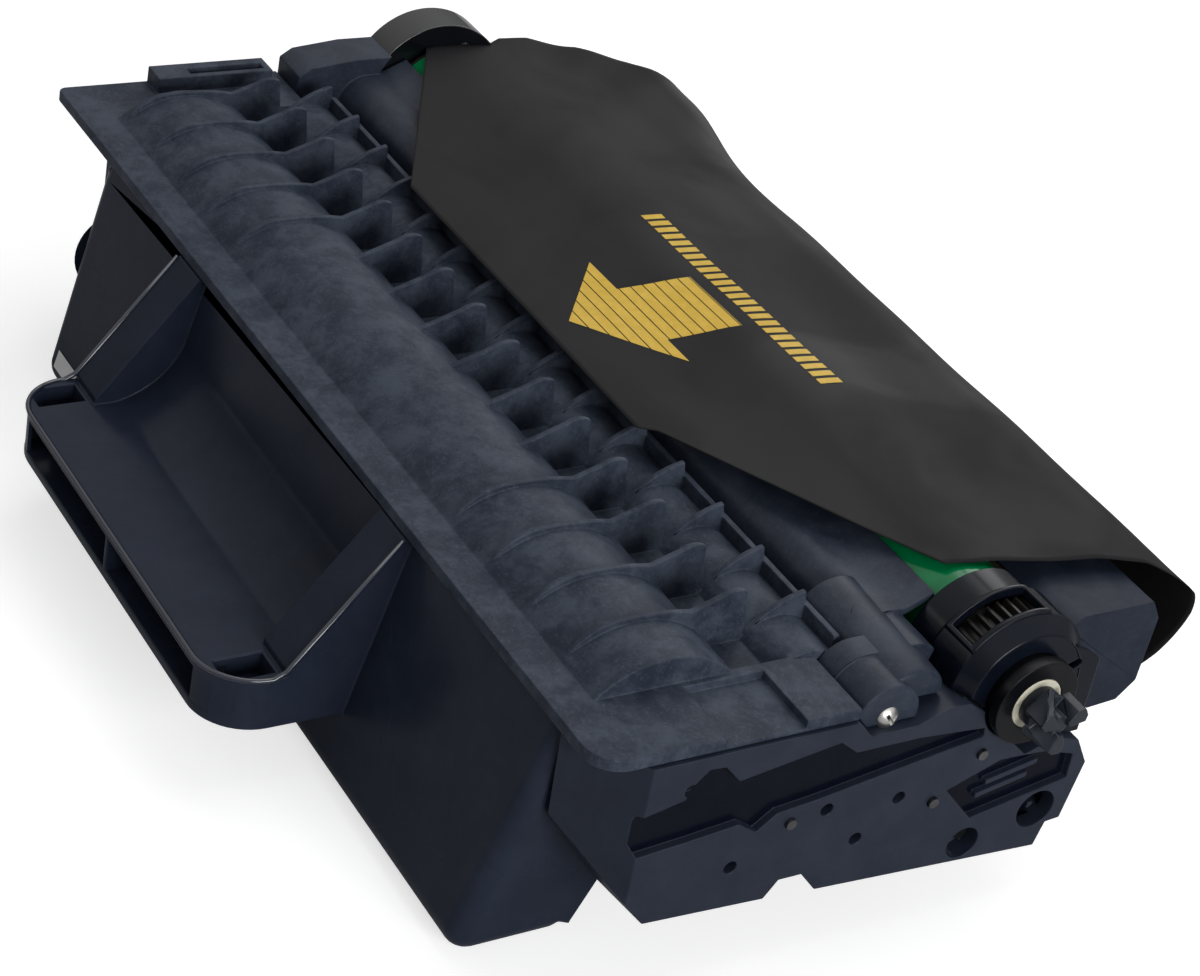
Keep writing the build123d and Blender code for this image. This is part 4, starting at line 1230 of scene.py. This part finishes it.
@dataclass(frozen=True)
class ScrewSet:
    """The cross-recess screws, all made by one Geometry Nodes tree from points with an axis."""

    shop: Workshop
    plan: ScrewPlan

    def _tree(self) -> bpy.types.NodeTree:
        """Builds the tree: a domed head with a cross cut into it, put on every point.

        Returns:
            The tree.
        """
        tree = bpy.data.node_groups.new("screw_set", "GeometryNodeTree")
        tree.interface.new_socket("Geometry", in_out="INPUT", socket_type="NodeSocketGeometry")
        for label in ("Radius", "Height", "Slot Length", "Slot Width", "Slot Depth"):
            tree.interface.new_socket(label, in_out="INPUT", socket_type="NodeSocketFloat")
        tree.interface.new_socket("Finish", in_out="INPUT", socket_type="NodeSocketMaterial")
        tree.interface.new_socket("Geometry", in_out="OUTPUT", socket_type="NodeSocketGeometry")
        canvas = NodeCanvas(tree)
        given = dict(tree.nodes.new("NodeGroupInput").outputs.items())
        result = tree.nodes.new("NodeGroupOutput")

        ball = canvas.add("GeometryNodeMeshUVSphere", Segments=48, Rings=32)
        reach = canvas.math("MULTIPLY", given["Radius"], self.plan.dome_share)
        canvas.feed(ball.inputs["Radius"], reach)
        sink = canvas.add("ShaderNodeCombineXYZ")
        canvas.feed(sink.inputs["Z"], canvas.math("SUBTRACT", given["Height"], reach))
        dome = canvas.add("GeometryNodeTransform")
        canvas.feed(dome.inputs["Geometry"], ball.outputs["Mesh"])
        canvas.feed(dome.inputs["Translation"], sink.outputs["Vector"])
        rod = canvas.add("GeometryNodeMeshCylinder", Vertices=48)
        canvas.feed(rod.inputs["Radius"], given["Radius"])
        canvas.feed(rod.inputs["Depth"], canvas.math("MULTIPLY", given["Height"], 2.0))
        head = canvas.add("GeometryNodeMeshBoolean", operation="INTERSECT")
        canvas.feed(head.inputs["Mesh 2"], dome.outputs["Geometry"])
        canvas.feed(head.inputs["Mesh 2"], rod.outputs["Mesh"])

        lift = canvas.add("ShaderNodeCombineXYZ")
        canvas.feed(lift.inputs["Z"], given["Height"])
        cut = canvas.add("GeometryNodeMeshBoolean", operation="DIFFERENCE")
        canvas.feed(cut.inputs["Mesh 1"], head.outputs["Mesh"])
        deep = canvas.math("MULTIPLY", given["Slot Depth"], 2.0)
        for length, width in (("Slot Length", "Slot Width"), ("Slot Width", "Slot Length")):
            box_size = canvas.add("ShaderNodeCombineXYZ")
            canvas.feed(box_size.inputs["X"], given[length])
            canvas.feed(box_size.inputs["Y"], given[width])
            canvas.feed(box_size.inputs["Z"], deep)
            box = canvas.add("GeometryNodeMeshCube")
            canvas.feed(box.inputs["Size"], box_size.outputs["Vector"])
            moved = canvas.add("GeometryNodeTransform")
            canvas.feed(moved.inputs["Geometry"], box.outputs["Mesh"])
            canvas.feed(moved.inputs["Translation"], lift.outputs["Vector"])
            canvas.feed(cut.inputs["Mesh 2"], moved.outputs["Geometry"])

        axis = canvas.add("GeometryNodeInputNamedAttribute", data_type="FLOAT_VECTOR")
        axis.inputs["Name"].default_value = "axis"
        turn = canvas.add("GeometryNodeInputNamedAttribute", data_type="FLOAT")
        turn.inputs["Name"].default_value = "turn"
        spin = canvas.add("ShaderNodeCombineXYZ")
        canvas.feed(spin.inputs["Z"], turn.outputs["Attribute"])
        first = canvas.add("FunctionNodeEulerToRotation")
        canvas.feed(first.inputs["Euler"], spin.outputs["Vector"])
        stand = canvas.add("FunctionNodeAlignRotationToVector", axis="Z")
        canvas.feed(stand.inputs["Rotation"], first.outputs["Rotation"])
        canvas.feed(stand.inputs["Vector"], axis.outputs["Attribute"])
        screws = canvas.add("GeometryNodeInstanceOnPoints")
        canvas.feed(screws.inputs["Points"], given["Geometry"])
        canvas.feed(screws.inputs["Instance"], cut.outputs["Mesh"])
        canvas.feed(screws.inputs["Rotation"], stand.outputs["Rotation"])
        real = canvas.add("GeometryNodeRealizeInstances")
        canvas.feed(real.inputs["Geometry"], screws.outputs["Instances"])
        finish = canvas.add("GeometryNodeSetMaterial")
        canvas.feed(finish.inputs["Geometry"], real.outputs["Geometry"])
        canvas.feed(finish.inputs["Material"], given["Finish"])
        canvas.feed(result.inputs["Geometry"], finish.outputs["Geometry"])
        return tree

    def build(self) -> bpy.types.Object:
        """Builds all the screws as one piece.

        Returns:
            The screws.
        """
        plan = self.plan
        points = bpy.data.meshes.new("screw_places")
        points.from_pydata([[value * MM for value in spot.place] for spot in plan.places], [], [])
        axes = points.attributes.new("axis", "FLOAT_VECTOR", "POINT")
        axes.data.foreach_set("vector", [value for spot in plan.places for value in spot.axis])
        turns = points.attributes.new("turn", "FLOAT", "POINT")
        turns.data.foreach_set("value", [spot.turn for spot in plan.places])
        holder = add_object("screw_holder", points)
        tree = self._tree()
        modifier = holder.modifiers.new("screws", "NODES")
        modifier.node_group = tree
        values = {
            "Radius": plan.radius * MM,
            "Height": plan.height * MM,
            "Slot Length": plan.slot_length * MM,
            "Slot Width": plan.slot_width * MM,
            "Slot Depth": plan.slot_depth * MM,
            "Finish": self.shop.materials["screw_steel"],
        }
        for socket in tree.interface.items_tree:
            if socket.in_out == "INPUT" and socket.name in values:
                modifier[socket.identifier] = values[socket.name]
        bpy.context.view_layer.update()
        evaluated = holder.evaluated_get(bpy.context.evaluated_depsgraph_get())
        mesh = bpy.data.meshes.new_from_object(evaluated)
        mesh.name = "cover_screws"
        holder.modifiers.remove(modifier)
        bpy.data.objects.remove(holder)
        for polygon in mesh.polygons:
            polygon.use_smooth = True
        mesh.set_sharp_from_angle(angle=SCREW_SHADE_ANGLE)
        return self.shop.piece("cover_screws", mesh, "screw_steel", "body", "steel")


# Stage


@dataclass(frozen=True)
class Softbox:
    """One lamp: its place and its sides in metres, and its power in watts."""

    name: str
    place: Place
    width: float
    height: float
    power: float


@dataclass
class Stage:
    """Floor, lamps and the camera at the photograph's place."""

    camera_place: Place = (0.5132, -0.2851, 0.4259)
    right: Place = (0.48919769, 0.85408888, 0.17668562)
    down: Place = (0.54737218, -0.1429354, -0.82459273)
    forward: Place = (-0.67902085, 0.50010165, -0.53742816)
    lens: float = 87.0
    sensor: float = 36.0
    ambient: float = 0.22
    horizon: float = 0.25
    floor_glow: float = 0.66
    floor_tone: float = 0.62
    floor_half: float = 6.0
    floor_drop: float = 0.0002
    aim: Place = (0.0, 0.06, 0.04)
    lamps: tuple[Softbox, ...] = (
        Softbox("top_softbox", (-0.10, 0.35, 1.05), 0.95, 0.75, 4.3),
        Softbox("back_strip", (-0.75, 0.95, 0.55), 0.25, 1.10, 2.2),
        Softbox("near_softbox", (1.15, 0.05, 0.42), 0.70, 0.45, 9.5),
        Softbox("left_strip", (-0.35, -1.10, 0.62), 1.20, 0.16, 0.7),
    )

    def build(self) -> None:
        """Makes the floor, the world, the lamps and the camera."""
        self._floor()
        self._world()
        for softbox in self.lamps:
            self._lamp(softbox)
        self._camera()
        bpy.context.scene.view_settings.view_transform = "Standard"

    def _floor(self) -> None:
        """Lays a plain white floor, a little brighter to the camera, with the cartridge's own shadow."""
        mesh = bpy.data.meshes.new("floor")
        half = self.floor_half
        mesh.from_pydata(
            [(-half, -half, 0.0), (half, -half, 0.0), (half, half, 0.0), (-half, half, 0.0)], [], [(0, 1, 2, 3)]
        )
        floor = add_object("floor", mesh)
        floor.location.z = -self.floor_drop
        material = bpy.data.materials.new("floor_white")
        material.use_nodes = True
        shader = material.node_tree.nodes["Principled BSDF"]
        shader.inputs["Base Color"].default_value = (self.floor_tone, self.floor_tone, self.floor_tone, 1.0)
        shader.inputs["Roughness"].default_value = 0.9
        shader.inputs["Specular IOR Level"].default_value = 0.0
        shader.inputs["Emission Color"].default_value = (1.0, 1.0, 1.0, 1.0)
        canvas = NodeCanvas(material.node_tree)
        rays = canvas.add("ShaderNodeLightPath")
        glow = canvas.math("MULTIPLY", rays.outputs["Is Camera Ray"], self.floor_glow)
        canvas.feed(shader.inputs["Emission Strength"], glow)
        mesh.materials.append(material)

    def _world(self) -> None:
        """Lights the scene evenly, white to the camera, with reflections that are brightest from above."""
        world = bpy.data.worlds.new("studio")
        bpy.context.scene.world = world
        world.use_nodes = True
        world.node_tree.nodes.clear()
        canvas = NodeCanvas(world.node_tree)
        rays = canvas.add("ShaderNodeLightPath")
        seen = canvas.math("MAXIMUM", rays.outputs["Is Camera Ray"], rays.outputs["Is Transmission Ray"])
        strength = canvas.math("ADD", canvas.math("MULTIPLY", seen, 1.0 - self.ambient), self.ambient)
        ray = canvas.add("ShaderNodeTexCoord").outputs["Generated"]
        height = canvas.ramp(canvas.add("ShaderNodeSeparateXYZ", Vector=ray).outputs["Z"], -0.05, 0.80)
        rise = canvas.math("MULTIPLY", height, 1.0 - self.horizon)
        sheen = canvas.math("ADD", rise, self.horizon - self.ambient)
        strength = canvas.math("ADD", strength, canvas.math("MULTIPLY", rays.outputs["Is Glossy Ray"], sheen))
        background = canvas.add("ShaderNodeBackground", Color=(1.0, 1.0, 1.0, 1.0), Strength=strength)
        canvas.add("ShaderNodeOutputWorld", Surface=background.outputs["Background"])

    def _lamp(self, softbox: Softbox) -> None:
        """Hangs one softbox that faces the cartridge.

        Args:
            softbox: The lamp.
        """
        lamp = bpy.data.lights.new(softbox.name, "AREA")
        lamp.shape = "RECTANGLE"
        lamp.size = softbox.width
        lamp.size_y = softbox.height
        lamp.energy = softbox.power
        obj = add_object(softbox.name, lamp)
        obj.location = softbox.place
        obj.rotation_euler = (Vector(self.aim) - Vector(softbox.place)).to_track_quat("-Z", "Y").to_euler()

    def _camera(self) -> None:
        """Sets the camera where the photograph was taken from."""
        camera = bpy.data.cameras.new("camera")
        camera.sensor_width = self.sensor
        camera.lens = self.lens
        camera.clip_start = 0.05
        camera.clip_end = 20.0
        obj = add_object("camera", camera)
        right, up, back = Vector(self.right), -Vector(self.down), -Vector(self.forward)
        turn = Matrix((right, up, back)).transposed().to_4x4()
        obj.matrix_world = Matrix.Translation(self.camera_place) @ turn
        bpy.context.scene.camera = obj


def main() -> None:
    """Builds the stage and dresses the cartridge, sub-assembly by sub-assembly."""
    logging.basicConfig(level=logging.INFO, format="%(name)s: %(message)s")
    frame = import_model()
    Stage().build()
    shop = Workshop(frame)
    for node in NODE_FINISH:
        shop.dress_node(node)
    for node, width in SOFT_EDGES.items():
        shop.soften_node(node, width)
    film = ProtectiveFilm(shop, FilmCut())
    film.sheet()
    FilmPrint(film, PrintPlan()).build()
    ScrewSet(shop, ScrewPlan()).build()
    blank_label(shop, LabelPlan())
    arm_ridge(shop, RidgePlan())
    grip = Grip(shop, GripPlan())
    grip.rim()
    grip.webs()
    grip.shells()


if __name__ == "__main__":
    main()
